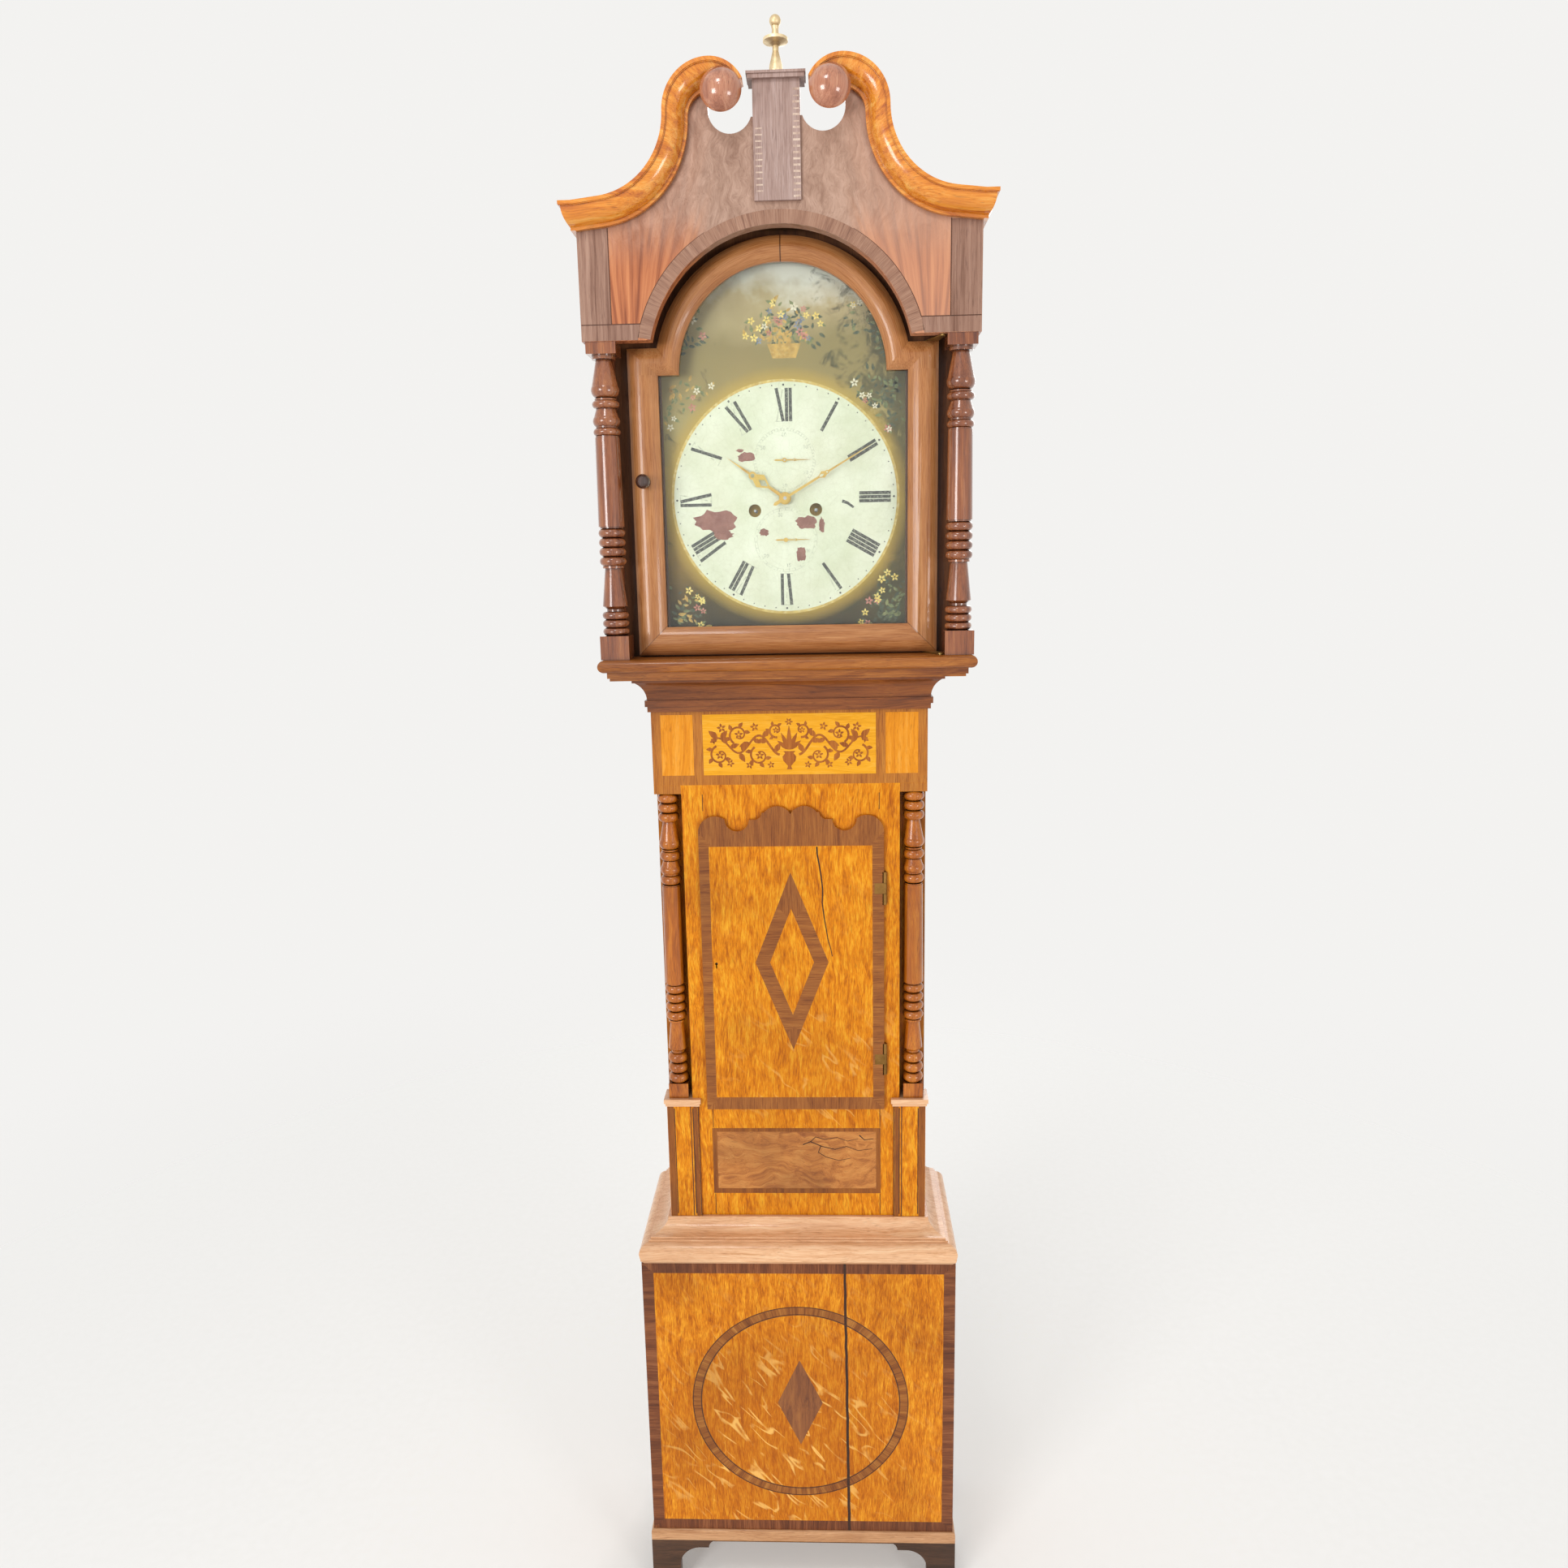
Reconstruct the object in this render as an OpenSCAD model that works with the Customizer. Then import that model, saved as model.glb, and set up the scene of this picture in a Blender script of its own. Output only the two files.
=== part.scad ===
// Longcase clock in oak and mahogany, with an eight-day striking movement.
// X runs to the right, Y runs back from the front, Z runs up from the floor.
// Heights are stacked from the floor up, and depths are counted from the trunk's front face.

/* [Base] */
// Height of the bracket feet
foot_h = 84; // [60:1:110]
// Width of one foot's upright
foot_w = 46; // [36:1:60]
// Height of the skirting moulding
skirting_h = 19; // [14:1:28]
// How far the skirting stands out
skirting_out = 4; // [2:1:8]
// Height of the base panel
base_h = 488; // [400:1:560]
// Width of the base
base_w = 490; // [470:1:520]
// How far the base stands in front of the trunk
base_out = 39; // [34:1:46]
// Height of the moulding on top of the base
cap_mould_h = 59; // [50:1:70]
// Width of the crossbanding
band_w = 18; // [12:1:24]
// Outer radius of the inlaid circle
circle_r = 172.5; // [140:0.5:180]
// Width of the inlaid circle's ring
circle_band = 15; // [8:1:20]
// Half width of the small lozenge
lozenge_x = 36; // [24:1:46]
// Half height of the small lozenge
lozenge_z = 77; // [50:1:90]

/* [Trunk] */
// Width of the trunk
trunk_w = 400; // [390:1:416]
// Depth from the trunk's front face to the backboard
trunk_d = 175; // [168:1:190]
// Thickness of the side and front boards
board_t = 18; // [16:1:20]
// Thickness of the backboard
back_t = 12; // [8:1:16]
// Height of the pilaster blocks
pilaster_h = 188; // [150:1:220]
// Height of the pilaster caps
pilaster_cap_h = 12; // [9:1:16]
// Width of a pilaster block
pilaster_w = 49; // [46:1:54]
// Height of the trunk columns
trunk_col_h = 482; // [470:1:520]
// Radius of the trunk columns' beads
trunk_col_r = 15.5; // [13:0.5:16]
// Height of the frieze block
block_h = 122; // [110:1:140]
// Height of the throat moulding
throat_h = 50; // [40:1:60]
// Height of the cheeks above the throat
cheek_h = 147; // [140:1:156]

/* [Trunk door] */
// Half width of the door
door_hw = 136.5; // [130:0.5:140]
// Height of the door's bottom edge above the base moulding
door_low = 184; // [170:1:190]
// Height from the bottom edge to the foot of the shaped top
door_h = 440; // [420:1:450]
// Thickness of the overlapping lip
lip_t = 6; // [5:0.5:8]
// Overlap of the lip on the frame
lip_over = 8; // [6:0.5:10]
// Half width of the door's lozenge
diamond_x = 55; // [40:1:70]
// Half height of the door's lozenge
diamond_z = 140; // [100:1:150]
// Share of the lozenge that is open inside its band
diamond_open = 0.6; // [0.5:0.01:0.7]

/* [Hood] */
// Half width between the hood's outer frieze faces
hood_hw = 262; // [258:1:270]
// How far the frieze board stands in front of the trunk
hood_out = 53; // [50:1:60]
// Height of the hood's base moulding
hood_base_h = 30; // [26:1:36]
// Height of the hood columns with their blocks
hood_col_h = 419; // [405:1:440]
// Radius of the hood columns' beads
hood_col_r = 18.5; // [16:0.5:19.5]
// Side of the columns' square blocks
col_block = 40; // [39:1:42]
// Radius of the arch in the frieze board
arch_r = 175; // [173:0.5:178]
// Height of the arch centre below the frieze board's edge
arch_drop = 37.5; // [34:0.5:42]
// Width across the glass opening
sight_w = 340; // [336:1:342]
// Radius of the glass opening's arch
sight_r = 141; // [138:0.5:143]
// Projection of the cornice and swan necks
cornice_out = 30; // [24:1:34]
// Height of the cornice and swan necks
cornice_h = 30; // [26:1:34]
// Radius of the turned bosses
boss_r = 26; // [22:0.5:28]
// Half width of the centre plinth
plinth_hw = 30; // [26:1:33]
// Height of the centre plinth above the frieze board's edge
plinth_top = 304.5; // [290:0.5:330]
// Height of the finial
finial_h = 70; // [60:1:90]

/* [Movement] */
// Height of the dial centre above the hood's base moulding
dial_up = 217; // [214:1:219]
// Length of the minute hand
minute_len = 144; // [130:1:150]
// Width of the dial plate
dial_w = 356; // [350:1:358]
// Distance from the centre arbor out to a barrel arbor
barrel_x = 43; // [43:0.5:44]
// Distance from the centre arbor down to a barrel arbor
barrel_z = 16; // [15:0.5:18]
// Radius of a barrel
barrel_r = 21.2; // [18:0.1:21.5]
// Distance from the centre arbor up to the escape arbor
escape_up = 52; // [51:0.5:54]
// Length of the pendulum to the middle of the bob
pendulum_len = 994; // [960:1:1000]
// Diameter of the pendulum bob
bob_d = 110; // [90:1:120]
// Diameter of a weight
weight_d = 76; // [60:1:78]
// Height of a weight
weight_h = 170; // [140:1:190]
// Height of the run-down weights above the floor
weight_low = 260; // [240:1:280]

/* [Hidden] */
$fn = 64;
// Tiny amount by which cutters pass through faces
eps = 0.5;
// How far section runs reach past the work before they are trimmed
past = 150;
// Radial running clearance of pins and pivots
run = 0.05;
// Clearance between wooden parts that pass each other
slip = 1.5;

trunk_hw = trunk_w/2;
base_hw = base_w/2;
z_skirt = foot_h;
z_base = z_skirt + skirting_h;
z_cap = z_base + base_h;
z_trunk = z_cap + cap_mould_h;
z_pilcap = z_trunk + pilaster_h;
z_col = z_pilcap + pilaster_cap_h;
z_block = z_col + trunk_col_h;
z_neck = z_block + block_h;
z_hood = z_neck + throat_h;
z_deck = z_hood + hood_base_h;
z_frieze = z_deck + hood_col_h;
z_arch = z_frieze - arch_drop;
z_cheek = z_hood + cheek_h;
z_dial = z_deck + dial_up;
z_back = trunk_d + back_t;
// The whole clock is centred front to back on its bounding box
boss_h = 15;
boss_front = hood_out + cornice_out + boss_h;
mid_y = (boss_front - z_back)/2;

// Trunk frame
recess = 40;
recess_d = 30;
stile_x = trunk_hw - recess;
lining_t = 14;
door_z = z_trunk + door_low;
opening_hw = door_hw - lip_over;
inlay_t = 1.2;

// Hood
side_t = 14;
side_hw = hood_hw - 18;
frieze_t = 20;
col_x = hood_hw - 4 - col_block/2;
col_y = -(hood_out - 1 - col_block/2);
roof_t = 10;
z_roof = z_arch + arch_r + 8;
cap_h = 8;
cap_hw = plinth_hw + 6;
z_plinth = z_frieze + plinth_top;
// Swan neck: the three arcs and the straight end share tangents
neck_in = 142;
neck_z = z_frieze + 263.4;
neck_low_r = 95.7;
neck_top_r = 59.6;
neck_x = neck_in - neck_top_r;
scroll_r = 47;
scroll_a = 62;
end_tilt = 6.5;
end_x = neck_in + neck_low_r - neck_low_r*sin(end_tilt);
end_z = neck_z - neck_low_r*cos(end_tilt);
end_run = (hood_hw - end_x)/cos(end_tilt);
z_cornice = end_z - end_run*sin(end_tilt) - cornice_h;
side_out = 16.5;
boss_x = 67.5;
boss_z = z_frieze + 285.5;
// The board behind the swan necks stops half way up the moulding
hide = cornice_h/2;
notch_r = 28;
notch_x = 59;
notch_z = z_frieze + 272.5;

// Hood door
hdoor_hw = hood_hw - 51;
hdoor_t = 14;
hdoor_round = 8;
hdoor_z0 = z_deck + 2;
hdoor_z1 = z_frieze - 2;
hdoor_arch = arch_r - slip;
sight_z0 = z_deck + 41.5;
sight_hw = sight_w/2;
pivot_x = hdoor_hw + 2;
pivot_y = -40;
pivot_r = 2;
arm_t = 1.6;
glass_t = 2.5;
mask_y = 9;
mask_t = 8;

// Trunk door hinge
knuckle_r = 3;
hinge_x = door_hw + 1.5;
hinge_y = -3.2;
hinge_h = 50;
hinge_pin_r = 1.2;
hinge_zs = [door_z + 82, door_z + 353];
leaf_t = 1.2;
lock_z = door_z + 237;
lock_x = -door_hw + 21;
bolt_throw = 7;

// Movement planes, counted back from the trunk's front face
dial_y = 20;
dial_t = 1.6;
plate_y = 48;
plate_t = 3;
plate_gap = 62;
back_plate_y = plate_y + plate_t + plate_gap;
inner_y = plate_y + plate_t;
plate_hw = 70;
plate_up = 93;
pivot_d = 2.4;
arbor_r = 2.5;
thin_arbor_r = 2.1;
stud_r = 0.9;
seat_t = 20;
seat_y0 = 42;
seat_y1 = 125;
z_seat = z_cheek + seat_t;
rod_y = 137;

// Wheel work: teeth and modules
great_teeth = 96;
centre_teeth = 60;
pinion_teeth = 8;
third_teeth = 56;
escape_pinion = 7;
escape_teeth = 30;
escape_r = 20;
motion_teeth = 36;
hour_teeth = 72;
motion_pinion = 6;
motion_d = 27;
strike_teeth = 78;
pin_teeth = 56;
pallet_teeth = 56;
warning_teeth = 48;
fly_pinion = 6;

barrel_d = sqrt(barrel_x*barrel_x + barrel_z*barrel_z);
great_m = 2*barrel_d/(great_teeth + pinion_teeth);
third_d = 34;
centre_m = 2*third_d/(centre_teeth + pinion_teeth);
escape_d = 28.35;
third_m = 2*escape_d/(third_teeth + escape_pinion);
third_z = (third_d*third_d - escape_d*escape_d + escape_up*escape_up)/(2*escape_up);
third_x = sqrt(third_d*third_d - third_z*third_z);
motion_m = 2*motion_d/(2*motion_teeth);
hour_m = 2*motion_d/(hour_teeth + motion_pinion);
strike_m = 0.9;
pin_m = 0.8;
pallet_m = 0.7;
warning_m = 0.6;
pallet_z = escape_up + escape_r*sqrt(2);

// Arbor places in the front view, from the centre arbor
going_at = [barrel_x, -barrel_z];
strike_at = [-barrel_x, -barrel_z];
centre_at = [0, 0];
third_at = [third_x, third_z];
escape_at = [0, escape_up];
anchor_at = [0, pallet_z];
motion_at = [0, -motion_d];
date_at = [0, -57];
pin_at = strike_at + step(strike_m*(strike_teeth + pinion_teeth)/2, 94.4);
gather_at = pin_at + step(pin_m*(pin_teeth + escape_pinion)/2, 61.5);
warning_at = gather_at + step(pallet_m*(pallet_teeth + escape_pinion)/2, 117);
fly_at = warning_at + step(warning_m*(warning_teeth + fly_pinion)/2, 149.8);
hammer_at = [-66, 50];

// Weights and lines
line_r = 1;
pulley_r = 25;
line_gap = 2*pulley_r;
line_off = barrel_r + line_r + 0.3;
going_near = going_at[0] - line_off;
strike_near = strike_at[0] - line_off;
going_far = going_near + line_gap;
strike_far = strike_near - line_gap;
z_line = z_dial - barrel_z;
pulley_up = weight_h + 45;
pulley_z = weight_low + pulley_up;
barrel_y0 = 62;
barrel_y1 = 93;
weight_y = (barrel_y0 + barrel_y1)/2;
z_susp = z_dial + pallet_z;
z_bob = z_susp - pendulum_len;
bell_x = -15;
bell_y = 85;
bell_r = 45;
z_rim = z_dial + plate_up + 22;

// A step of length d at angle a in the front view
function step(d, a) = [d*cos(a), d*sin(a)];
// Direction from one front-view point to another
function bearing(p, q) = atan2(q[1] - p[1], q[0] - p[0]);
// Sum of the first n heights in a list of turned sections
function height_to(s, n) = n <= 0 ? 0 : s[n - 1][1] + height_to(s, n - 1);

// Moves a piece from trunk depths to the clock's own frame
module placed() {
  translate([0, mid_y, 0]) children();
}

// Draws a front-view outline as a board from depth y0 back by t
module board(y0, t) {
  translate([0, y0 + t, 0]) rotate([90, 0, 0]) linear_extrude(t) children();
}

// Both a shape and its mirror image across the middle
module pair() {
  children();
  mirror([1, 0, 0]) children();
}

// A box from its low corner to its high corner
module block(a, b) {
  translate(a) cube(b - a);
}

// A rectangle from its low corner to its high corner
module panel(a, b) {
  translate(a) square(b - a);
}

// A lozenge by its half width and half height
module lozenge(x, z) {
  polygon([[x, 0], [0, z], [-x, 0], [0, -z]]);
}

// Moulding run round the front and both sides of a box: the intersection of a front section
// and a side section gives true mitres. Children draw the section, projection against height.
module moulding_round(hw, z0, h, back) {
  difference() {
    intersection() {
      translate([-hw - past, 0, z0]) rotate([90, 0, 90]) linear_extrude(2*(hw + past)) union() {
        mirror([1, 0]) children();
        square([back, h]);
      }
      translate([0, back, z0]) rotate([90, 0, 0]) linear_extrude(back + past) union() {
        translate([hw, 0]) children();
        translate([-hw, 0]) mirror([1, 0]) children();
        translate([-hw, 0]) square([2*hw, h]);
      }
    }
    block([-hw, 0, z0 - eps], [hw, back + eps, z0 + h + eps]);
  }
}

// Turned sections stacked upwards: ["bead", h], ["taper", h, r0, r1], ["bulb", h, r0, r1, r2]
module turned(sections, r) {
  rotate_extrude() for (i = [0:len(sections) - 1])
    translate([0, height_to(sections, i)]) turned_section(sections[i], r);
}

module turned_section(s, r) {
  h = s[1];
  if (s[0] == "bead") union() {
    square([r - h/2, h]);
    translate([r - h/2, h/2]) intersection() {
      circle(h/2);
      translate([0, -h]) square([h, 2*h]);
    }
  }
  if (s[0] == "taper") polygon([[0, 0], [s[2], 0], [s[3], h], [0, h]]);
  if (s[0] == "bulb") intersection() {
    square([r + 10, h]);
    union() {
      translate([s[3] - s[4], s[2]]) circle(s[4]);
      square([s[3] - s[4], h]);
      polygon([[0, s[2]], [s[3] - 1, s[2] + s[4]*0.32], [s[5], h], [0, h]]);
    }
  }
}

// The columns' turned part, from the lower block to the upper one. The plain shaft takes up
// what the beads and vases leave of the height.
module column_turning(h, r, bead, mid_bead, top_beads) {
  neck = r*0.64;
  bal = r*2.8;
  vase = r*2.7;
  cup = r*1.25;
  ring = bead*0.95;
  used = 3*bead + bal + 4*mid_bead + 2*ring + cup + vase + top_beads*mid_bead + 18;
  low = [["bead", bead], ["bead", bead], ["bead", bead], ["taper", 3, neck, neck],
    ["taper", 4, neck, r*0.94], ["taper", bal, r*0.94, neck], ["taper", 3, r*0.8, r*0.8]];
  mid = [for (i = [1:4]) ["bead", mid_bead]];
  shaft = [["taper", 2, r*0.86, r*0.86], ["taper", h - used, r*0.97, r*0.9],
    ["taper", 2, r*0.86, r*0.86]];
  cupped = [["bead", ring], ["taper", 2, r*0.8, r*0.8], ["bulb", cup, cup*0.3, r, r*0.5, r*0.72],
    ["bead", ring], ["taper", 2, r*0.8, r*0.8], ["bulb", vase, vase*0.22, r*1.03, r*0.62, neck*0.92]];
  top = [for (i = [0:1:top_beads - 1]) ["bead", mid_bead]];
  turned(concat(low, mid, shaft, cupped, top), r);
}

// A toothed wheel in the front view, one tooth pointing at angle a
module toothed(n, m, a) {
  r = n*m/2;
  ro = r + 0.85*m;
  ri = r - 1.25*m;
  p = 360/n;
  polygon([for (i = [0:n - 1], k = [0:3])
    let (u = a + i*p + p*[-0.25, -0.08, 0.08, 0.25][k], q = (k == 0 || k == 3) ? ri : ro)
    [q*cos(u), q*sin(u)]]);
}

// A leaved pinion in the front view, one gap pointing at angle a
module leaved(n, m, a) {
  r = n*m/2;
  ro = r + 0.8*m;
  ri = r - 1.3*m;
  p = 360/n;
  polygon([for (i = [0:n - 1], k = [0:3])
    let (u = a + (i + 0.5)*p + p*[-0.13, -0.1, 0.1, 0.13][k], q = (k == 0 || k == 3) ? ri : ro)
    [q*cos(u), q*sin(u)]]);
}

// A wheel cut out to a rim, crossings and a hub
module crossed(n, m, a, spokes, rim, hub) {
  ri = n*m/2 - 1.25*m - rim;
  difference() {
    toothed(n, m, a);
    difference() {
      circle(ri);
      circle(hub);
      for (i = [0:spokes - 1]) rotate(i*360/spokes + 20)
        translate([0, -1.6]) square([ri + 1, 3.2]);
    }
  }
}

// A cylinder along the depth from y0 to y1, in the front view at p
module rod(p, y0, y1, r) {
  translate([p[0], y1, z_dial + p[1]]) rotate([90, 0, 0]) cylinder(h = y1 - y0, r = r);
}

// A front-view shape of the movement at p, from y0 to y1
module disc(p, y0, y1) {
  translate([p[0], y1, z_dial + p[1]]) rotate([90, 0, 0]) linear_extrude(y1 - y0) children();
}

// An arbor between the plates, with its two pivots
module arbor(p, r) {
  rod(p, inner_y + 0.3, back_plate_y - 0.3, r);
  rod(p, plate_y + 0.2, back_plate_y + plate_t - 0.2, pivot_d/2);
}

// Three boards, one above the other, on the rear edges of the sides
module backboard() {
  seam = 0.2;
  color("#6b4526") placed() board(trunk_d, back_t) {
    panel([-base_hw + board_t, z_skirt], [base_hw - board_t, z_cap]);
    panel([-trunk_hw, z_cap + seam], [trunk_hw, z_deck + 1 - seam]);
    panel([-side_hw + side_t + 1, z_deck + 1], [side_hw - side_t - 1, z_roof - 2]);
  }
}

module trunk_sides() {
  color("#b8722a") placed() pair() {
    block([trunk_hw - board_t, recess_d, z_cap - 40], [trunk_hw, trunk_d, z_neck]);
    block([trunk_hw - board_t, recess_d, z_neck], [trunk_hw, trunk_d, z_cheek]);
  }
}

// Plan of one stile with the lining of the column's corner recess
module stile_plan() {
  pair() polygon([[opening_hw + 1, 0], [stile_x, 0], [stile_x, recess_d],
    [trunk_hw - board_t, recess_d], [trunk_hw - board_t, recess_d + lining_t],
    [stile_x - lining_t, recess_d + lining_t], [stile_x - lining_t, board_t],
    [opening_hw + 1, board_t]]);
}

// The door's shaped top: two outer lobes, two round notches and a double hump
module door_outline(grow) {
  lobe_z = door_z + door_h;
  difference() {
    union() {
      panel([-door_hw - grow, door_z - grow], [door_hw + grow, lobe_z]);
      panel([-door_hw + 25, lobe_z - eps], [door_hw - 25, lobe_z + 19.5 + grow]);
      pair() translate([door_hw - 25, lobe_z]) circle(25 + grow);
      pair() translate([20, lobe_z + 17]) circle(22.5 + grow);
      pair() difference() {
        panel([38, lobe_z + 15], [52, lobe_z + 30 + grow]);
        translate([54, lobe_z + 31 + grow]) circle(12);
      }
    }
    pair() translate([79, lobe_z + 20]) circle(18 - grow);
  }
}

module trunk_front() {
  lobe_z = door_z + door_h;
  color("#c57d22") placed() difference() {
    union() {
      // The stiles run up behind the frieze block
      translate([0, 0, z_pilcap]) linear_extrude(z_block - z_pilcap + lining_t) stile_plan();
      block([-opening_hw - 2, 0, lobe_z - 16], [opening_hw + 2, board_t, z_block]);
      block([-trunk_hw, 0, z_block], [trunk_hw, recess_d, z_neck]);
      block([-trunk_hw, 0, z_neck], [trunk_hw, board_t, z_hood - 1]);
      block([-trunk_hw + pilaster_w, 0, z_cap - 40], [trunk_hw - pilaster_w, board_t,
        door_z + lip_over]);
      pair() block([stile_x - lining_t, board_t, z_cap - 40],
        [trunk_hw - board_t, recess_d + lining_t, z_pilcap]);
    }
    // Pockets for the frieze inlay, the lower panel, the fixed leaves and the lock bolt
    board(-eps, inlay_t + eps) frieze_bands();
    board(-eps, inlay_t + eps) lower_panel_shape();
    for (z = hinge_zs) block([opening_hw - 1, -eps, z - hinge_h/2 - 0.2],
      [hinge_x + 1.1, leaf_t, z + hinge_h/2 + 0.2]);
    block([-opening_hw - bolt_throw - 6, 5, lock_z - 9], [-opening_hw, 12, lock_z + 9]);
  }
}

// Crossbanding round the frieze block and between its panels
module frieze_bands() {
  fp = 125.5;
  translate([0, z_block]) {
    panel([-trunk_hw, 13], [trunk_hw, 27.5]);
    panel([-trunk_hw, block_h - 5], [trunk_hw, block_h]);
    panel([-trunk_hw, 0], [trunk_hw, 3.5]);
    pair() panel([fp, 27], [fp + 14, block_h - 4.5]);
    pair() panel([trunk_hw - 13.5, 27], [trunk_hw, block_h - 4.5]);
  }
}

module lower_panel_shape() {
  panel_hw = trunk_hw - pilaster_w - 20;
  panel([-panel_hw, z_trunk + 38], [panel_hw, z_trunk + 149]);
}

module trunk_inlays() {
  color("#7c4a2e") placed() {
    board(0, inlay_t) frieze_bands();
    board(0, inlay_t) lower_panel_shape();
  }
}

module trunk_columns() {
  base_b = 24;
  color("#8a4a24") placed() pair() translate([trunk_hw - 19, 11, z_col]) {
    translate([-15, -12, 0]) cube([30, 28, base_b]);
    translate([0, 0, base_b]) column_turning(trunk_col_h - base_b, trunk_col_r, 16.5, 14.5, 3);
  }
}

module trunk_pilasters() {
  w = pilaster_w;
  color("#b86f26") placed() pair() difference() {
    union() {
      block([trunk_hw - w, 0, z_cap], [trunk_hw, board_t, z_pilcap]);
      block([trunk_hw - w, -3, z_trunk], [trunk_hw, 0, z_pilcap]);
      block([trunk_hw - board_t, board_t, z_trunk], [trunk_hw, recess_d, z_pilcap]);
      block([trunk_hw - w - 2, -5, z_pilcap], [trunk_hw + 2, 0, z_pilcap + 5]);
      block([trunk_hw - recess, 0, z_pilcap], [trunk_hw + 2, recess_d, z_pilcap + 5]);
      block([trunk_hw - w - 4, -7, z_pilcap + 5], [trunk_hw + 4, 0, z_col]);
      block([trunk_hw - recess, 0, z_pilcap + 5], [trunk_hw + 4, recess_d, z_col]);
    }
    // Sunk strips beside the oak strip in the block's face
    for (x = [trunk_hw - w + 8, trunk_hw - 12])
      block([x, -4, z_trunk + 4], [x + 1.5, -2, z_pilcap - 4]);
  }
}

// Section of the throat moulding: a tall cove between two fillets
module throat_section() {
  low = 17;
  top = throat_h - 6;
  out = 19;
  rc = ((out - 4)*(out - 4) + (top - low)*(top - low))/(2*(out - 4));
  square([4, throat_h]);
  panel([0, 8], [7, low]);
  panel([0, top], [out + 3, throat_h]);
  difference() {
    panel([0, low], [out, top]);
    translate([4 + rc, low]) circle(rc);
  }
}

module throat_moulding() {
  color("#9b5a30") placed() moulding_round(trunk_hw, z_neck, throat_h, trunk_d) throat_section();
}

module base_front() {
  color("#c07a22") placed() difference() {
    board(-base_out, board_t) panel([-base_hw, z_skirt], [base_hw, z_cap]);
    board(-base_out - eps, inlay_t + eps) base_bands(0);
  }
}

// Crossbanding round the base panel, the ring and the lozenge in it
module base_bands(gap) {
  zc = z_base + base_h*0.49;
  difference() {
    panel([-base_hw, z_base], [base_hw, z_cap]);
    panel([-base_hw + band_w - gap, z_base + band_w - gap],
      [base_hw - band_w + gap, z_cap - band_w + gap]);
  }
  translate([0, zc]) difference() {
    circle(circle_r - gap, $fn = 120);
    circle(circle_r - circle_band + gap, $fn = 120);
  }
  translate([0, zc]) lozenge(lozenge_x - gap, lozenge_z - gap);
}

module base_inlay() {
  color("#6f3f28") placed() board(-base_out, inlay_t) base_bands(0.05);
}

module base_sides() {
  color("#b8722a") placed() pair()
    block([base_hw - board_t, -base_out + board_t, z_skirt], [base_hw, z_back, z_cap]);
}

module base_bottom() {
  color("#7a5230") placed() block([-base_hw + 4, -base_out + 14, z_skirt - 20],
    [base_hw - 4, z_back, z_skirt]);
}

// Section of the base's top moulding: a cove above a step and a thumb
module cap_section() {
  b = base_out;
  h = cap_mould_h;
  cove = 28.3;
  square([5, h]);
  square([b - 6, 36]);
  difference() {
    square([b - 9, h]);
    translate([b - 9, 39 + cove]) circle(cove);
  }
  intersection() {
    translate([b - 6, 19]) circle(14);
    square([b + 20, 33]);
    panel([0, 19], [b + 20, 40]);
  }
  polygon([[0, 0], [b + 1, 0], [b + 6, 6], [b + 8, 19], [0, 19]]);
}

module base_cap_moulding() {
  color("#a9694a") placed() moulding_round(trunk_hw, z_cap, cap_mould_h, trunk_d) cap_section();
}

module skirting_section() {
  union() {
    square([skirting_out, skirting_h - 4]);
    translate([0, skirting_h - 4]) intersection() {
      circle(4);
      square(4);
    }
  }
}

module base_skirting() {
  color("#c08a5c") placed() translate([0, -base_out, 0])
    moulding_round(base_hw, z_skirt, skirting_h, z_back + base_out) skirting_section();
}

// Outline of one bracket foot, upright at the outer edge, cut to a cusped bracket inside
module foot_outline(len) {
  r = 34;
  rail = 14;
  difference() {
    square([len, foot_h]);
    panel([foot_w, -1], [len + 1, foot_h - rail - r]);
    translate([foot_w + r, foot_h - rail - r]) circle(r);
    panel([foot_w + r, -1], [len + 1, foot_h - rail]);
    translate([len, foot_h - rail]) circle(rail);
  }
}

module bracket_feet() {
  t = board_t;
  x = base_hw + skirting_out;
  color("#8d5f3f") placed() {
    pair() difference() {
      union() {
        translate([-x, -base_out - skirting_out + t, 0]) rotate([90, 0, 0])
          linear_extrude(t) foot_outline(108);
        translate([-x, -base_out - skirting_out, 0]) rotate([90, 0, 90])
          linear_extrude(t) foot_outline(108);
      }
      block([-base_hw + 3, -base_out + 13, z_skirt - 21], [0, z_back, z_skirt + 1]);
    }
    pair() difference() {
      translate([-x, z_back, 0]) mirror([0, 1, 0]) rotate([90, 0, 90])
        linear_extrude(t + 8) foot_outline(96);
      block([-base_hw + 3, 0, z_skirt - 21], [0, z_back + 1, z_skirt + 1]);
    }
  }
}

module seatboard() {
  color("#7a5230") placed() difference() {
    block([-trunk_hw, seat_y0, z_cheek], [trunk_hw, seat_y1, z_seat]);
    for (x = [going_near, strike_near])
      block([x - 5, weight_y - 22, z_cheek - eps], [x + 5, weight_y + 22, z_seat + eps]);
    for (x = [going_far, strike_far]) translate([x, weight_y, z_cheek - eps])
      cylinder(h = seat_t + 2*eps, r = line_r + 0.3);
  }
}

module hinge_knuckle(z0, z1, r) {
  translate([hinge_x, hinge_y, z0]) difference() {
    cylinder(h = z1 - z0, r = knuckle_r);
    if (r > 0) translate([0, 0, -eps]) cylinder(h = z1 - z0 + 2*eps, r = r);
  }
}

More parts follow.
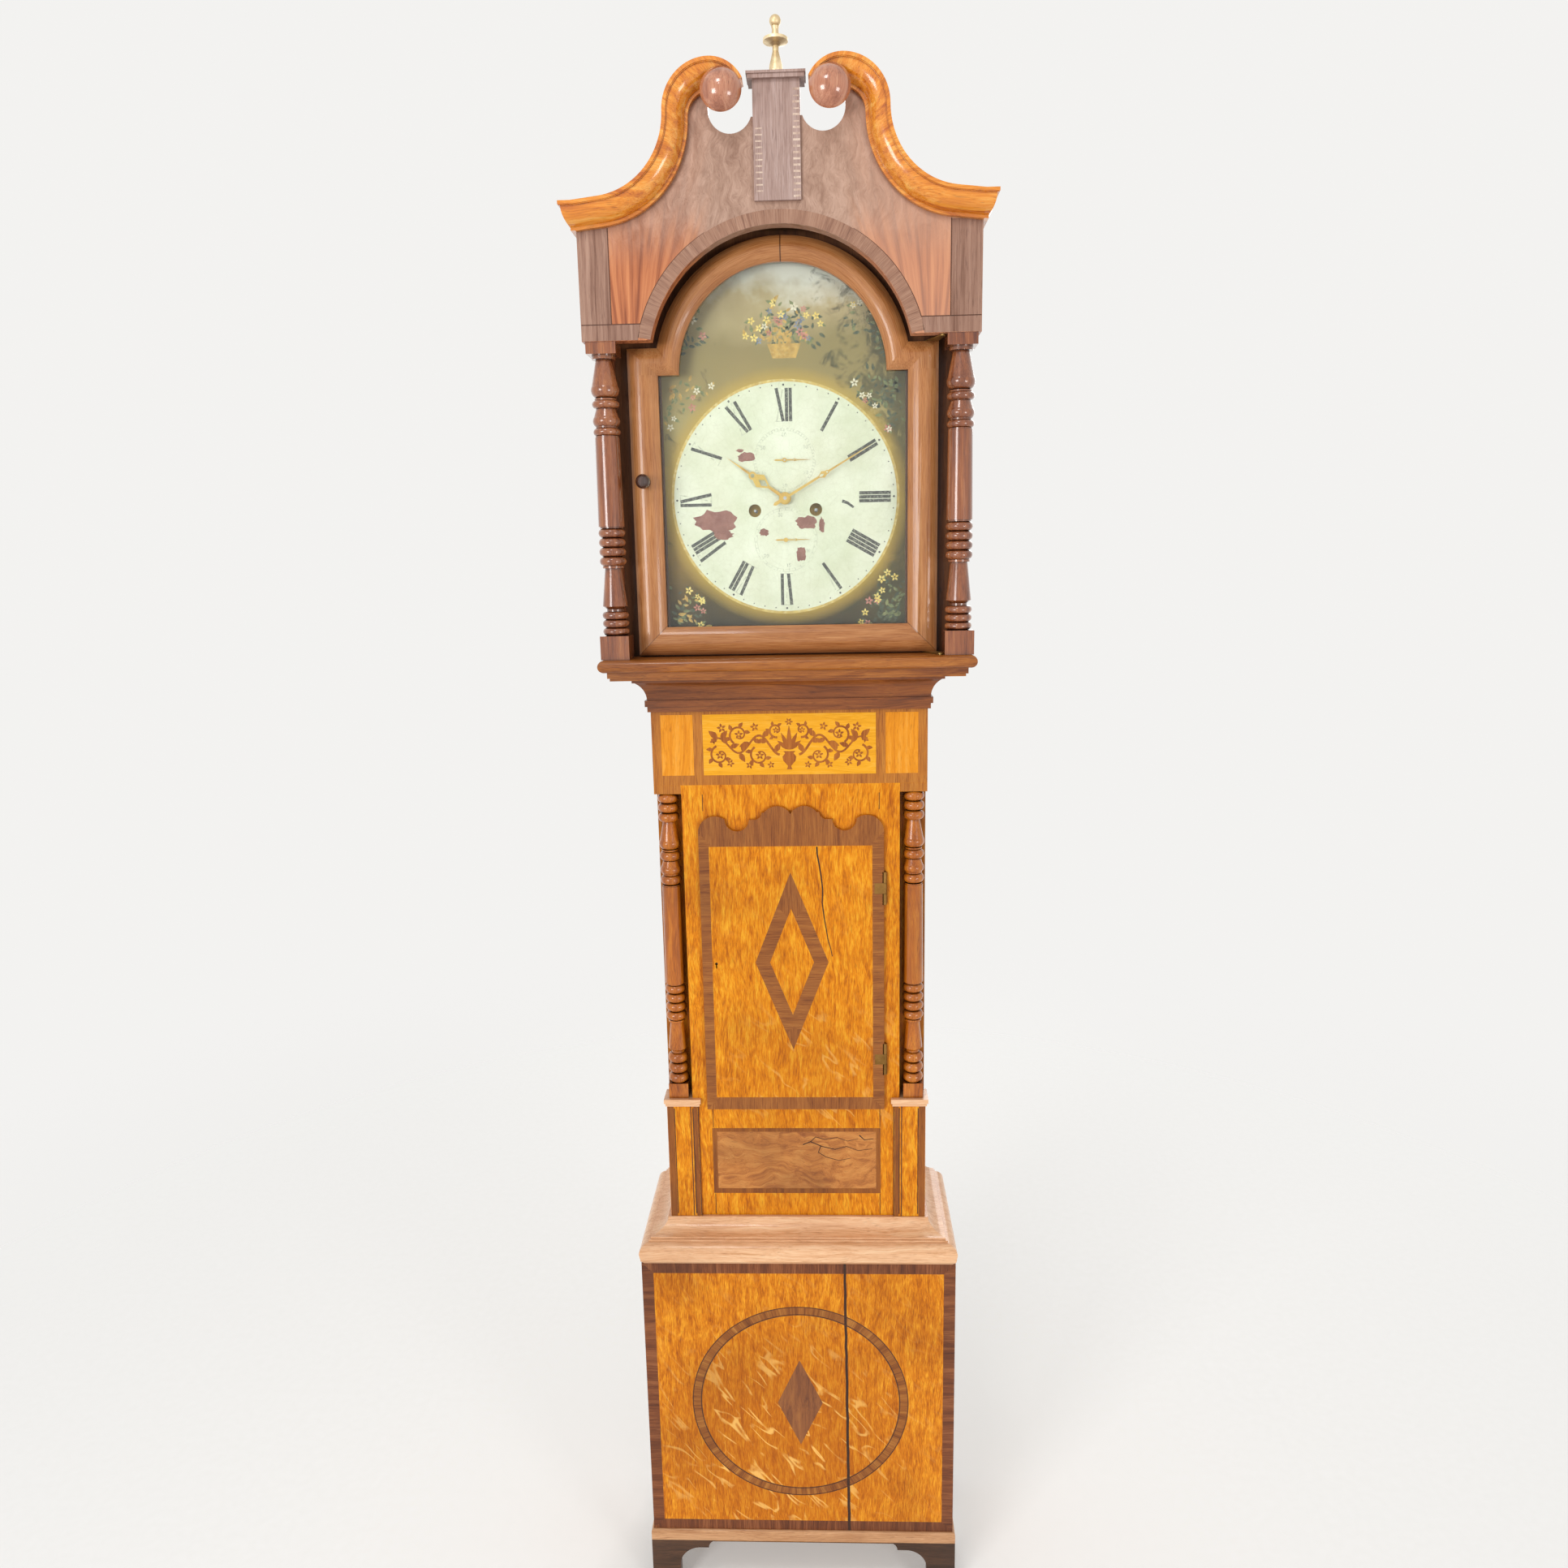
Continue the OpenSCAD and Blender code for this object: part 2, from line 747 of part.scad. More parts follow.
module hinge_plates() {
  color("#a98b4f") placed() for (z = hinge_zs) {
    a = z - hinge_h/2;
    third = hinge_h/3;
    difference() {
      union() {
        block([opening_hw + 1.2, 0, a], [hinge_x, leaf_t, a + hinge_h]);
        for (s = [0, 2]) {
          hinge_knuckle(a + s*third, a + (s + 1)*third, 0);
          block([hinge_x - 1, hinge_y, a + s*third], [hinge_x + 1, leaf_t, a + (s + 1)*third]);
        }
      }
      translate([hinge_x, hinge_y, a + third - 0.15]) cylinder(h = third + 0.3, r = knuckle_r + 0.3);
    }
    translate([hinge_x, hinge_y, a + third - 1]) cylinder(h = third + 2, r = hinge_pin_r);
  }
}

module trunk_door() {
  lobe_z = door_z + door_h;
  color("#c9801f") placed() difference() {
    union() {
      board(-lip_t, lip_t - 0.2) door_outline(0);
      block([-opening_hw + 1, -0.3, door_z + lip_over + 1], [opening_hw - 1, board_t - 2, lobe_z - 17]);
    }
    board(-lip_t - eps, inlay_t + eps) door_bands();
    for (z = hinge_zs) {
      block([hinge_x - knuckle_r - 0.6, -lip_t - 1, z - hinge_h/2 - 0.4],
        [hinge_x + 2, 0, z + hinge_h/2 + 0.4]);
      block([opening_hw - 9, -1.2, z - hinge_h/2 - 0.4],
        [hinge_x + 2, leaf_t + 0.5, z + hinge_h/2 + 0.4]);
      block([opening_hw - 6, -lip_t - 1, z - hinge_h/6 + 0.1],
        [hinge_x + 2, -lip_t + leaf_t, z + hinge_h/6 - 0.1]);
    }
    // Keyhole and the pocket for the lock
    board(-lip_t - 1, 40) union() {
      translate([lock_x, lock_z]) circle(2.2);
      panel([lock_x - 1, lock_z - 7], [lock_x + 1, lock_z]);
    }
    block([-opening_hw + 1 - eps, 2, lock_z - 22], [-opening_hw + 48, board_t, lock_z + 22]);
  }
}

// Crossbanding round the door, full above the panel, and the open lozenge
module door_bands() {
  band_top = door_z + door_h - 21;
  difference() {
    door_outline(0);
    panel([-door_hw + band_w - 3, door_z + band_w + 2], [door_hw - band_w + 1, band_top]);
  }
  translate([-1.5, door_z + 239]) difference() {
    lozenge(diamond_x, diamond_z);
    lozenge(diamond_x*diamond_open, diamond_z*diamond_open);
  }
}

module trunk_door_inlay() {
  color("#75452b") placed() difference() {
    board(-lip_t, inlay_t) door_bands();
    for (z = hinge_zs) {
      block([hinge_x - knuckle_r - 0.6, -lip_t - 1, z - hinge_h/2 - 0.4],
        [hinge_x + 2, 0, z + hinge_h/2 + 0.4]);
      block([opening_hw - 6, -lip_t - 1, z - hinge_h/6 + 0.1],
        [hinge_x + 2, 0, z + hinge_h/6 - 0.1]);
    }
    board(-lip_t - 1, 40) union() {
      translate([lock_x, lock_z]) circle(2.2);
      panel([lock_x - 1, lock_z - 7], [lock_x + 1, lock_z]);
    }
  }
}

module trunk_door_fittings() {
  color("#b0925a") placed() {
    for (z = hinge_zs) difference() {
      union() {
        hinge_knuckle(z - hinge_h/6 + 0.2, z + hinge_h/6 - 0.2, hinge_pin_r + run);
        difference() {
          block([opening_hw - 6 + 0.05, -lip_t, z - hinge_h/6 + 0.2],
            [hinge_x, -lip_t + leaf_t, z + hinge_h/6 - 0.2]);
          translate([hinge_x, hinge_y, z - hinge_h]) cylinder(h = 2*hinge_h, r = knuckle_r - 0.4);
        }
      }
    }
    // Lock case with the slot its bolt slides in
    difference() {
      block([-opening_hw + 1, 2, lock_z - 22], [-opening_hw + 47.8, 16, lock_z + 22]);
      block([-opening_hw, 5.5, lock_z - 7.1], [-opening_hw + 34, 11.6, lock_z + 7.1]);
      board(0, 40) translate([lock_x, lock_z - 3]) circle(2);
    }
  }
}

module lock_bolt() {
  color("#8f8a80") placed() block([-opening_hw + 1.2, 5.6, lock_z - 7], [-opening_hw + 24, 11.5, lock_z + 7]);
}

module hood_sides() {
  color("#8a4b2a") placed() pair()
    block([side_hw - side_t, -8, z_deck], [side_hw, z_back, z_roof]);
}

module hood_top() {
  color("#7a5230") placed() block([-side_hw, -hood_out + frieze_t, z_roof],
    [side_hw, z_back, z_roof + roof_t]);
}

// The frieze board under and between the swan necks, with the arch and the scroll notches
module tympanum_outline() {
  low_x = neck_in + neck_low_r;
  difference() {
    union() {
      panel([-hood_hw, z_frieze], [hood_hw, z_cornice + hide]);
      difference() {
        panel([-low_x, z_frieze], [low_x, neck_z]);
        pair() translate([low_x, neck_z]) circle(neck_low_r + hide, $fn = 96);
      }
      pair() intersection() {
        translate([neck_x, neck_z]) circle(neck_top_r - hide, $fn = 96);
        panel([notch_x, neck_z - eps], [neck_in, z_plinth]);
      }
      panel([-plinth_hw, z_frieze], [plinth_hw, z_plinth]);
    }
    translate([0, z_arch]) circle(arch_r, $fn = 180);
    pair() translate([notch_x, notch_z]) circle(notch_r);
    pair() panel([plinth_hw, notch_z], [notch_x + notch_r, z_plinth + eps]);
  }
}

module tympanum() {
  color("#7d4630") placed() {
    difference() {
      board(-hood_out, frieze_t) tympanum_outline();
      translate([pivot_x, pivot_y, z_frieze - eps]) cylinder(h = 12 + eps, r = pivot_r + run);
    }
    pair() block([side_hw, -hood_out + frieze_t, z_frieze],
      [hood_hw, z_back, z_cornice + cornice_h]);
  }
}

// Section of the cornice lying down: height along X, projection c along Y
module cornice_section(c) {
  h = cornice_h;
  foot = 3.5 + 0.13*c;
  quirk = 0.8;
  d = c - 3 - foot - quirk;
  rise = h - 9;
  r = (rise*rise + d*d)/(2*d);
  square([4 + rise, foot]);
  intersection() {
    translate([4 + rise, c - 3 - r]) circle(r, $fn = 96);
    panel([3.5, 0], [4 + rise, c]);
  }
  panel([4 + rise - eps, 0], [h - 4, c - 1]);
  panel([h - 4 - eps, 0], [h, c]);
}

// The same section standing up: projection along X, height along Y
module cornice_upright(c) {
  mirror([1, 0]) rotate(90) cornice_section(c);
}

// One swan neck on the right: straight end, hollow arc, shoulder arc and scroll
module swan_neck() {
  h = cornice_h;
  translate([neck_in + neck_low_r, -hood_out, neck_z]) rotate([90, 0, 0]) {
    rotate(180) rotate_extrude(angle = 90 - end_tilt, $fn = 180)
      translate([neck_low_r + h, 0]) mirror([1, 0]) cornice_section(cornice_out);
    rotate(270 - end_tilt) translate([neck_low_r + h, end_run + 6, 0]) rotate([90, 0, 0])
      linear_extrude(end_run + 6) mirror([1, 0]) cornice_section(cornice_out);
  }
  translate([neck_x, -hood_out, neck_z]) rotate([90, 0, 0]) rotate_extrude(angle = 90, $fn = 180)
    translate([neck_top_r - h, 0]) cornice_section(cornice_out);
  translate([neck_x, -hood_out, neck_z + neck_top_r - scroll_r]) rotate([90, 0, 0]) rotate(90)
    rotate_extrude(angle = scroll_a, $fn = 180)
    translate([scroll_r - h, 0]) cornice_section(cornice_out);
}

// The level cornice round the front corner and along the side: the intersection of a front
// run and a side run of different depths
module side_cornice() {
  difference() {
    translate([0, -hood_out, z_cornice]) intersection() {
      rotate([90, 0, 90]) linear_extrude(hood_hw + past) {
        mirror([1, 0]) cornice_upright(cornice_out);
        square([z_back + hood_out, cornice_h]);
      }
      translate([0, z_back + hood_out, 0]) rotate([90, 0, 0])
        linear_extrude(z_back + hood_out + past) {
        translate([hood_hw, 0]) cornice_upright(side_out);
        square([hood_hw, cornice_h]);
      }
    }
    block([-1, -hood_out - past, z_cornice - 1], [hood_hw, z_back + 1, z_cornice + cornice_h + 1]);
  }
}

module swan_necks() {
  color("#b5651f") placed() pair() {
    intersection() {
      swan_neck();
      block([0, -hood_out - past, z_frieze], [hood_hw, z_back, z_plinth + past]);
    }
    side_cornice();
  }
}

// Turned bosses over the scroll ends: shallow domes
module scroll_bosses() {
  ball = (boss_r*boss_r + boss_h*boss_h)/(2*boss_h);
  color("#8a5238") placed() pair() translate([boss_x, -hood_out - cornice_out, boss_z])
    rotate([90, 0, 0]) rotate_extrude() intersection() {
      translate([0, boss_h - ball]) circle(ball, $fn = 128);
      square([boss_r + 1, boss_h]);
    }
}

module centre_plinth() {
  back = -hood_out + frieze_t;
  color("#74463a") placed() {
    board(-hood_out - 4, 4) panel([-plinth_hw, z_frieze + 164], [plinth_hw, z_plinth]);
    block([-cap_hw, -hood_out - 9, z_plinth], [cap_hw, back + 5, z_plinth + cap_h - 3]);
    block([-cap_hw - 1.5, -hood_out - 10.5, z_plinth + cap_h - 3],
      [cap_hw + 1.5, back + 6.5, z_plinth + cap_h]);
  }
}

// Brass finial: a bell-shaped foot, a disc and a ball
module finial() {
  ball = 7.2;
  k = (finial_h - 2*ball)/55.6;
  color("#c9a24e") placed() translate([0, -hood_out + frieze_t/2, z_plinth + cap_h])
    rotate_extrude() {
      polygon([[0, 0], [8.5, 0], [8, 3*k], [8.6, 6*k], [8.2, 12*k], [6, 20*k], [4, 28*k],
        [4, 34*k], [8, 36.5*k], [15.7, 39*k], [15.7, 42.5*k], [9, 45*k], [4.6, 47*k],
        [4.2, 53*k], [5, 56.5*k], [0, 56.5*k]]);
      intersection() {
        translate([0, finial_h - ball]) circle(ball);
        square([20, finial_h + 1]);
      }
    }
}

module hood_columns() {
  lower = 33;
  upper = 15;
  collar = 5;
  b = col_block/2;
  color("#8a4724") placed() pair() translate([col_x, col_y, z_deck]) {
    translate([-b, -b, 0]) cube([2*b, 2*b, lower]);
    translate([0, 0, lower])
      column_turning(hood_col_h - lower - upper - collar, hood_col_r, 11.2, 12.7, 0);
    translate([0, 0, hood_col_h - upper - collar]) cylinder(h = collar, r = hood_col_r*0.85);
    translate([-b, -b, hood_col_h - upper]) cube([2*b, 2*b, upper]);
  }
}

// Section of the hood's base moulding: a thumb above two steps
module hood_base_section() {
  h = hood_base_h;
  f = hood_hw - trunk_hw;
  thumb = 9;
  square([f - 18, h]);
  panel([0, h - 2*thumb], [f - thumb, h]);
  translate([f - thumb, h - thumb]) circle(thumb);
  panel([0, 4], [f - 11, h - 16]);
  square([f - 14, 6]);
}

module hood_base_moulding() {
  inner = trunk_hw + 2;
  color("#9c5a30") placed() difference() {
    union() {
      moulding_round(trunk_hw, z_hood, hood_base_h, z_back) hood_base_section();
      block([-trunk_hw - 1, -1, z_hood], [trunk_hw + 1, mask_y + mask_t, z_deck]);
    }
    block([-inner, mask_y + mask_t, z_hood - eps], [inner, z_back + eps, z_deck + eps]);
    translate([pivot_x, pivot_y, z_deck - 12]) cylinder(h = 12 + eps, r = pivot_r + run);
  }
}

// The glass opening's outline, grown by g
module sight(g) {
  panel([-sight_hw - g, sight_z0 - g], [sight_hw + g, z_arch + g]);
  translate([0, z_arch]) circle(sight_r + g, $fn = 180);
}

module hood_mask() {
  color("#6d4023") placed() board(mask_y, mask_t) difference() {
    panel([-side_hw + side_t, z_deck], [side_hw - side_t, z_roof]);
    panel([-sight_hw + 2, sight_z0 - 3], [sight_hw - 2, z_arch + 3]);
    translate([0, z_arch]) circle(sight_r + 5, $fn = 180);
  }
}

// Section of the door frame: square at the back with a rounded face. The facets are cut at
// shares of the width, so runs of different widths meet edge to edge at their mitres.
module frame_section(w) {
  polygon(concat([[0, 0], [w, 0]], [for (i = [12:-1:0])
    [w*i/12, hdoor_t + hdoor_round*(1 - pow(i/6 - 1, 2))]]));
}

// The door's rails, stiles, shoulders and arch, each cut at its mitres
module hood_door() {
  w = hdoor_hw - sight_hw;
  wb = sight_z0 - hdoor_z0;
  ws = hdoor_z1 - z_arch;
  wa = hdoor_arch - sight_r;
  foot_x = sqrt(hdoor_arch*hdoor_arch - ws*ws);
  back = hdoor_round;
  deep = 60;
  color("#9a5a30") placed() difference() {
    union() {
      intersection() {
        translate([-hdoor_hw, 0, 0]) rotate([90, 0, 90]) linear_extrude(2*hdoor_hw)
          translate([back, sight_z0]) mirror([0, 1]) rotate(90) frame_section(wb);
        board(-deep, 2*deep) polygon([[-hdoor_hw, hdoor_z0], [hdoor_hw, hdoor_z0],
          [sight_hw, sight_z0], [-sight_hw, sight_z0]]);
      }
      pair() intersection() {
        translate([sight_hw, back, hdoor_z0]) linear_extrude(hdoor_z1 - hdoor_z0)
          mirror([0, 1]) frame_section(w);
        board(-deep, 2*deep) polygon([[sight_hw, sight_z0], [hdoor_hw, hdoor_z0],
          [hdoor_hw, hdoor_z1], [sight_hw, z_arch]]);
      }
      pair() intersection() {
        translate([sight_r - 1, 0, 0]) rotate([90, 0, 90]) linear_extrude(hdoor_hw - sight_r + 1)
          translate([back, z_arch]) rotate(90) frame_section(ws);
        board(-deep, 2*deep) polygon([[sight_hw, z_arch], [hdoor_hw, hdoor_z1],
          [foot_x, hdoor_z1], [sight_r, z_arch]]);
      }
      intersection() {
        translate([0, back, z_arch]) rotate([90, 0, 0]) rotate_extrude(angle = 180, $fn = 180)
          translate([sight_r, 0]) frame_section(wa);
        board(-deep, 2*deep) polygon([[-sight_r, z_arch], [sight_r, z_arch], [foot_x, hdoor_z1],
          [2*sight_r, z_roof + past], [-2*sight_r, z_roof + past], [-foot_x, hdoor_z1]]);
      }
    }
    board(0, back + eps) sight(5.05);
    // Flat seat for the knob
    rod([-hdoor_hw + 18.5, 24], -hdoor_round - eps - 6, -13, 8.3);
  }
}

module hood_door_glass() {
  color("#dfe8e4", 0.4) placed() board(0, glass_t) sight(5);
}

// Plan of a cranked arm from the door's edge to its pivot
module pivot_arm() {
  polygon([[pivot_x - 21, hdoor_round], [pivot_x - 21, 0], [pivot_x - 3.6, pivot_y - 1.5],
    [pivot_x + 3.6, pivot_y - 1.5], [pivot_x + 3.6, pivot_y + 2], [pivot_x - 5, hdoor_round]]);
  translate([pivot_x, pivot_y]) circle(4);
}

module hood_door_fittings() {
  pin = 11;
  color("#8f6f3a") placed() {
    translate([-hdoor_hw + 18.5, -13, z_dial + 24]) rotate([90, 0, 0]) rotate_extrude() {
      square([8, 2]);
      square([3.5, 10]);
      intersection() {
        translate([0, 17]) circle(10);
        square([12, 26]);
      }
    }
    translate([0, 0, hdoor_z0 - arm_t]) linear_extrude(arm_t) pivot_arm();
    translate([pivot_x, pivot_y, z_deck - pin]) cylinder(h = pin + 2, r = pivot_r);
    translate([0, 0, hdoor_z1]) linear_extrude(arm_t) pivot_arm();
    translate([pivot_x, pivot_y, hdoor_z1]) cylinder(h = pin + 2, r = pivot_r);
  }
}

module dial_plate() {
  hw = dial_w/2;
  color("#e9ecdc") placed() {
    difference() {
      board(dial_y, dial_t) union() {
        panel([-hw, z_deck + 35], [hw, z_arch + 9]);
        translate([0, z_arch]) circle(150, $fn = 180);
      }
      for (p = [going_at, strike_at]) rod(p, dial_y - 1, dial_y + 3, 8.8);
      rod(centre_at, dial_y - 1, dial_y + 3, 6.3);
      rod(escape_at, dial_y - 1, dial_y + 3, 2);
      rod(date_at, dial_y - 1, dial_y + 3, pivot_d/2 + run);
    }
    for (p = [[58, 80], [-58, 80], [58, -72], [-58, -72]]) rod(p, dial_y + dial_t - 0.1, plate_y, 3);
  }
}

// Both movement plates' shared outline
module plate_outline() {
  panel([-plate_hw, z_seat], [plate_hw, z_dial + plate_up]);
}

module movement_plates() {
  fine = pivot_d/2 + run;
  spots = [third_at, escape_at, anchor_at, pin_at, gather_at, warning_at, fly_at, hammer_at];
  pillars = [[60, -70], [-60, -70], [64, 87], [-64, 87]];
  color("#c8a44c") placed() {
    difference() {
      board(plate_y, plate_t) plate_outline();
      for (p = spots) rod(p, plate_y - 1, inner_y + 1, fine);
      for (p = pillars) rod(p, plate_y - 1, inner_y + 1, 3 + run);
      for (p = [going_at, strike_at]) rod(p, plate_y - 1, inner_y + 1, 2.5 + run);
      rod(centre_at, plate_y - 1, inner_y + 1, 2 + run);
      rod(motion_at, plate_y - 1, plate_y + 1, 2.5);
    }
    rod(motion_at, plate_y - 2.8, plate_y + 1, 2.5);
    rod(motion_at, plate_y - 12, plate_y - 2.7, stud_r);
    difference() {
      union() {
        board(back_plate_y, plate_t) plate_outline();
        for (p = pillars) {
          rod(p, inner_y, back_plate_y + 0.1, 4);
          rod(p, plate_y, inner_y + 0.1, 3);
        }
        pendulum_cock();
      }
      for (p = concat(spots, [going_at, strike_at, centre_at]))
        rod(p, back_plate_y - 1, back_plate_y + plate_t + 1, fine);
      rod(anchor_at, 127, 147, 1.5 + run);
    }
    bell_stand();
    line_posts();
  }
}

// The bracket behind the back plate with two ears that carry the pendulum's pin
module pendulum_cock() {
  block([-9, back_plate_y + plate_t - 0.1, z_susp + 6], [9, 146, z_susp + 11]);
  for (y = [128, 143]) block([-4, y, z_susp - 5], [4, y + 3, z_susp + 6.1]);
}

// Cranked strap that rises inside the bell to its crown
module bell_stand() {
  y = back_plate_y;
  top = z_dial + plate_up;
  block([bell_x - 4, y, top], [bell_x + 4, y + plate_t, z_rim + 18]);
  block([bell_x - 4, bell_y - 4, z_rim + 15], [bell_x + 4, y + 0.1, z_rim + 18]);
  translate([bell_x, bell_y, z_rim + 16]) cylinder(h = bell_r - 18.5 - 2, r = 5);
  translate([bell_x, bell_y, z_rim + 16]) cylinder(h = bell_r - 9, r = 2.5);
}

// Posts on the seatboard that hold the lines' tied ends, each with an arm over its line
module line_posts() {
  arm = 15;
  for (p = [[going_far, 7], [strike_far, -7]]) {
    translate([p[0] + p[1], weight_y, z_seat]) cylinder(h = z_line - z_seat + 1, r = 3);
    translate([p[0] + (p[1] - arm)/2, weight_y - 4, z_line]) cube([arm, 8, 6]);
  }
}

module bell() {
  wall = 2.5;
  color("#d8b767") placed() translate([bell_x, bell_y, z_rim]) {
    rotate_extrude() difference() {
      intersection() {
        union() {
          difference() {
            circle(bell_r);
            circle(bell_r - wall);
          }
          panel([0, bell_r - 4.5], [6, bell_r + 0.5]);
        }
        square([bell_r + 1, bell_r + 1]);
      }
      square([2.5 + run, bell_r + 2]);
    }
    translate([0, 0, bell_r + 0.5]) difference() {
      cylinder(h = 4, r = 5);
      translate([0, 0, -1]) cylinder(h = 6, r = 2.5 + run);
    }
  }
}

// A slim hand along +X with a pierced swelling, its bore r, its ornament at x = s
module hand_outline(len, tail, w, s, orn, hub, bore) {
  difference() {
    union() {
      circle(hub);
      polygon([[0, -w], [len*0.72, -w*0.55], [len, 0], [len*0.72, w*0.55], [0, w], [-tail, w*1.3],
        [-tail - 3, 0], [-tail, -w*1.3]]);
      translate([s, 0]) lozenge(orn*1.8, orn);
      translate([s + orn*1.3, 0]) circle(orn*0.55);
    }
    if (bore > 0) circle(bore);
    translate([s - orn*0.5, 0]) lozenge(orn*0.8, orn*0.45);
    translate([s + orn*1.3, 0]) circle(orn*0.28);
  }
}

module minute_hand() {
  color("#c79a4a") placed() difference() {
    union() {
      disc(centre_at, 10.4, 11.6) rotate(30) hand_outline(minute_len, 16, 1.9, 62, 5, 7, 0);
      rod(centre_at, 9.2, 11, 4.4);
    }
    rod(centre_at, 8, 13, 2.45);
  }
}

module hour_hand() {
  color("#c79a4a") placed() disc(centre_at, 14.6, 15.8)
    rotate(145) hand_outline(100, 0, 2.4, 42, 10, 8.5, 5.05);
}

module seconds_hand() {
  color("#c79a4a") placed() disc(escape_at, 17, 17.8)
    hand_outline(37, 12, 0.9, 14, 2, 3, pivot_d/2 + run);
}

module date_hand() {
  color("#c79a4a") placed() {
    disc(date_at, 17, 17.8) hand_outline(36, 12, 0.9, 14, 2, 3, 0);
    rod(date_at, 17.7, dial_y + 4.4, pivot_d/2);
    rod(date_at, dial_y + dial_t + 0.2, dial_y + 4, 3);
  }
}

module centre_wheel() {
  color("#c9a54f") placed() {
    rod(centre_at, inner_y + 0.3, back_plate_y - 0.3, arbor_r);
    rod(centre_at, 80, back_plate_y + plate_t - 0.2, pivot_d/2);
    rod(centre_at, plate_y - 3.1, inner_y + 0.4, 2);
    rod(centre_at, 11.6, plate_y - 3, 3.5);
    rod(centre_at, 9, 11.7, 2.4);
    disc(centre_at, plate_y - 5, plate_y - 3) toothed(motion_teeth, motion_m, 270);
    disc(centre_at, 56, 58.5) crossed(centre_teeth, centre_m, bearing(centre_at, third_at), 4, 3.5, 7);
    disc(centre_at, 98, 105) leaved(pinion_teeth, great_m, bearing(centre_at, going_at));
  }
}

module minute_wheel() {
  color("#c9a54f") placed() difference() {
    union() {
      disc(motion_at, plate_y - 5, plate_y - 3) toothed(motion_teeth, motion_m, 90 + 180/motion_teeth);
      disc(motion_at, plate_y - 11, plate_y - 4.9) leaved(motion_pinion, hour_m, 90);
    }
    rod(motion_at, plate_y - 13, plate_y, stud_r + run);
  }
}

module hour_wheel() {
  color("#c9a54f") placed() difference() {
    union() {
      disc(centre_at, plate_y - 10, plate_y - 8) crossed(hour_teeth, hour_m, 270, 4, 3, 9);
      rod(centre_at, 15.8, plate_y - 8.1, 6);
      rod(centre_at, 14.4, 15.9, 5);
    }
    rod(centre_at, 14, plate_y - 7, 3.5 + run);
  }
}

module third_wheel() {
  color("#c9a54f") placed() {
    arbor(third_at, arbor_r);
    disc(third_at, 53, 62) leaved(pinion_teeth, centre_m, bearing(third_at, centre_at));
    disc(third_at, 88, 90) crossed(third_teeth, third_m, bearing(third_at, escape_at), 4, 3.5, 7);
  }
}

module escape_wheel() {
  root = escape_r - 3.6;
  color("#c9a54f") placed() {
    arbor(escape_at, thin_arbor_r);
    rod(escape_at, 16.6, plate_y + 0.3, pivot_d/2);
    disc(escape_at, 85, 93) leaved(escape_pinion, third_m, bearing(escape_at, third_at));
    disc(escape_at, 64, 66) difference() {
      polygon([for (i = [0:escape_teeth - 1], k = [0:1])
        let (a = (i + k*0.35)*360/escape_teeth, q = k == 0 ? escape_r : root)
        [q*cos(a), q*sin(a)]]);
      difference() {
        circle(root - 3);
        circle(6);
        for (i = [0:3]) rotate(90*i + 20) translate([0, -1.2]) square([root, 2.4]);
      }
    }
  }
}

module anchor() {
  color("#9a958c") placed() {
    rod(anchor_at, inner_y + 0.3, back_plate_y - 0.3, arbor_r);
    rod(anchor_at, plate_y + 0.2, 121, pivot_d/2);
    disc(anchor_at, 64, 66) pair() polygon([[-0.1, 5], [12, 1.5], [20.5, -7], [18, -12.5],
      [15.2, -13.1], [15.5, -9.5], [10, -4], [-0.1, -4.5]]);
    // Crutch behind the back plate and the fork round the pendulum rod
    disc(anchor_at, 118, 121) union() {
      circle(4);
      panel([-1.5, -pallet_z - 42], [1.5, 0]);
    }
    disc(anchor_at, 120.9, rod_y - 3 - 1.5) panel([-5.3, -pallet_z - 42], [5.3, -pallet_z - 38]);
    for (x = [-5.3, 3.3])
      disc(anchor_at, 120.9, rod_y + 5) panel([x, -pallet_z - 42], [x + 2, -pallet_z - 38]);
  }
}

// Half thickness of the bob at a distance q from its centre
function lens_h(q) = 1 + 11.5*(1 - pow(2*q/bob_d, 2));

module pendulum() {
  color("#b08d4a") placed() {
    rod(anchor_at, 127.5, 146, 1.5);
    block([-3, rod_y - 3.5, z_susp - 12], [3, rod_y + 3.5, z_susp + 3]);
    translate([0, rod_y, z_bob - 84]) cylinder(h = z_susp - z_bob + 74, r = 3);
    translate([0, rod_y, z_bob]) rotate([90, 0, 0]) rotate_extrude($fn = 96) polygon(concat(
      [for (i = [0:8]) [bob_d/2*i/8, lens_h(bob_d/2*i/8)]],
      [for (i = [8:-1:0]) [bob_d/2*i/8, -lens_h(bob_d/2*i/8)]]));
    translate([0, rod_y, z_bob - 76]) cylinder(h = 6, r = 7);
  }
}

// A barrel between two flanges on its arbor, with the winding square and a ratchet
module barrel_turning(p, ratchet_y) {
  flange = 2;
  rod(p, barrel_y0, barrel_y1, barrel_r);
  rod(p, barrel_y0 - flange, barrel_y0 + 0.1, barrel_r + 2.6);
  rod(p, barrel_y1 - 0.1, barrel_y1 + flange, barrel_r + 2.6);
  rod(p, inner_y + 0.3, back_plate_y - 0.3, 3);
  rod(p, 90, back_plate_y + plate_t - 0.2, pivot_d/2);
  rod(p, plate_y - 2, inner_y + 0.4, 2.5);
  disc(p, 24, plate_y - 1.9) square(3.4, center = true);
  disc(p, ratchet_y, ratchet_y + 2) polygon([for (i = [0:11], k = [0:1])
    let (a = (i + k*0.25)*30, q = k == 0 ? 14 : 11.5) [q*cos(a), q*sin(a)]]);
}

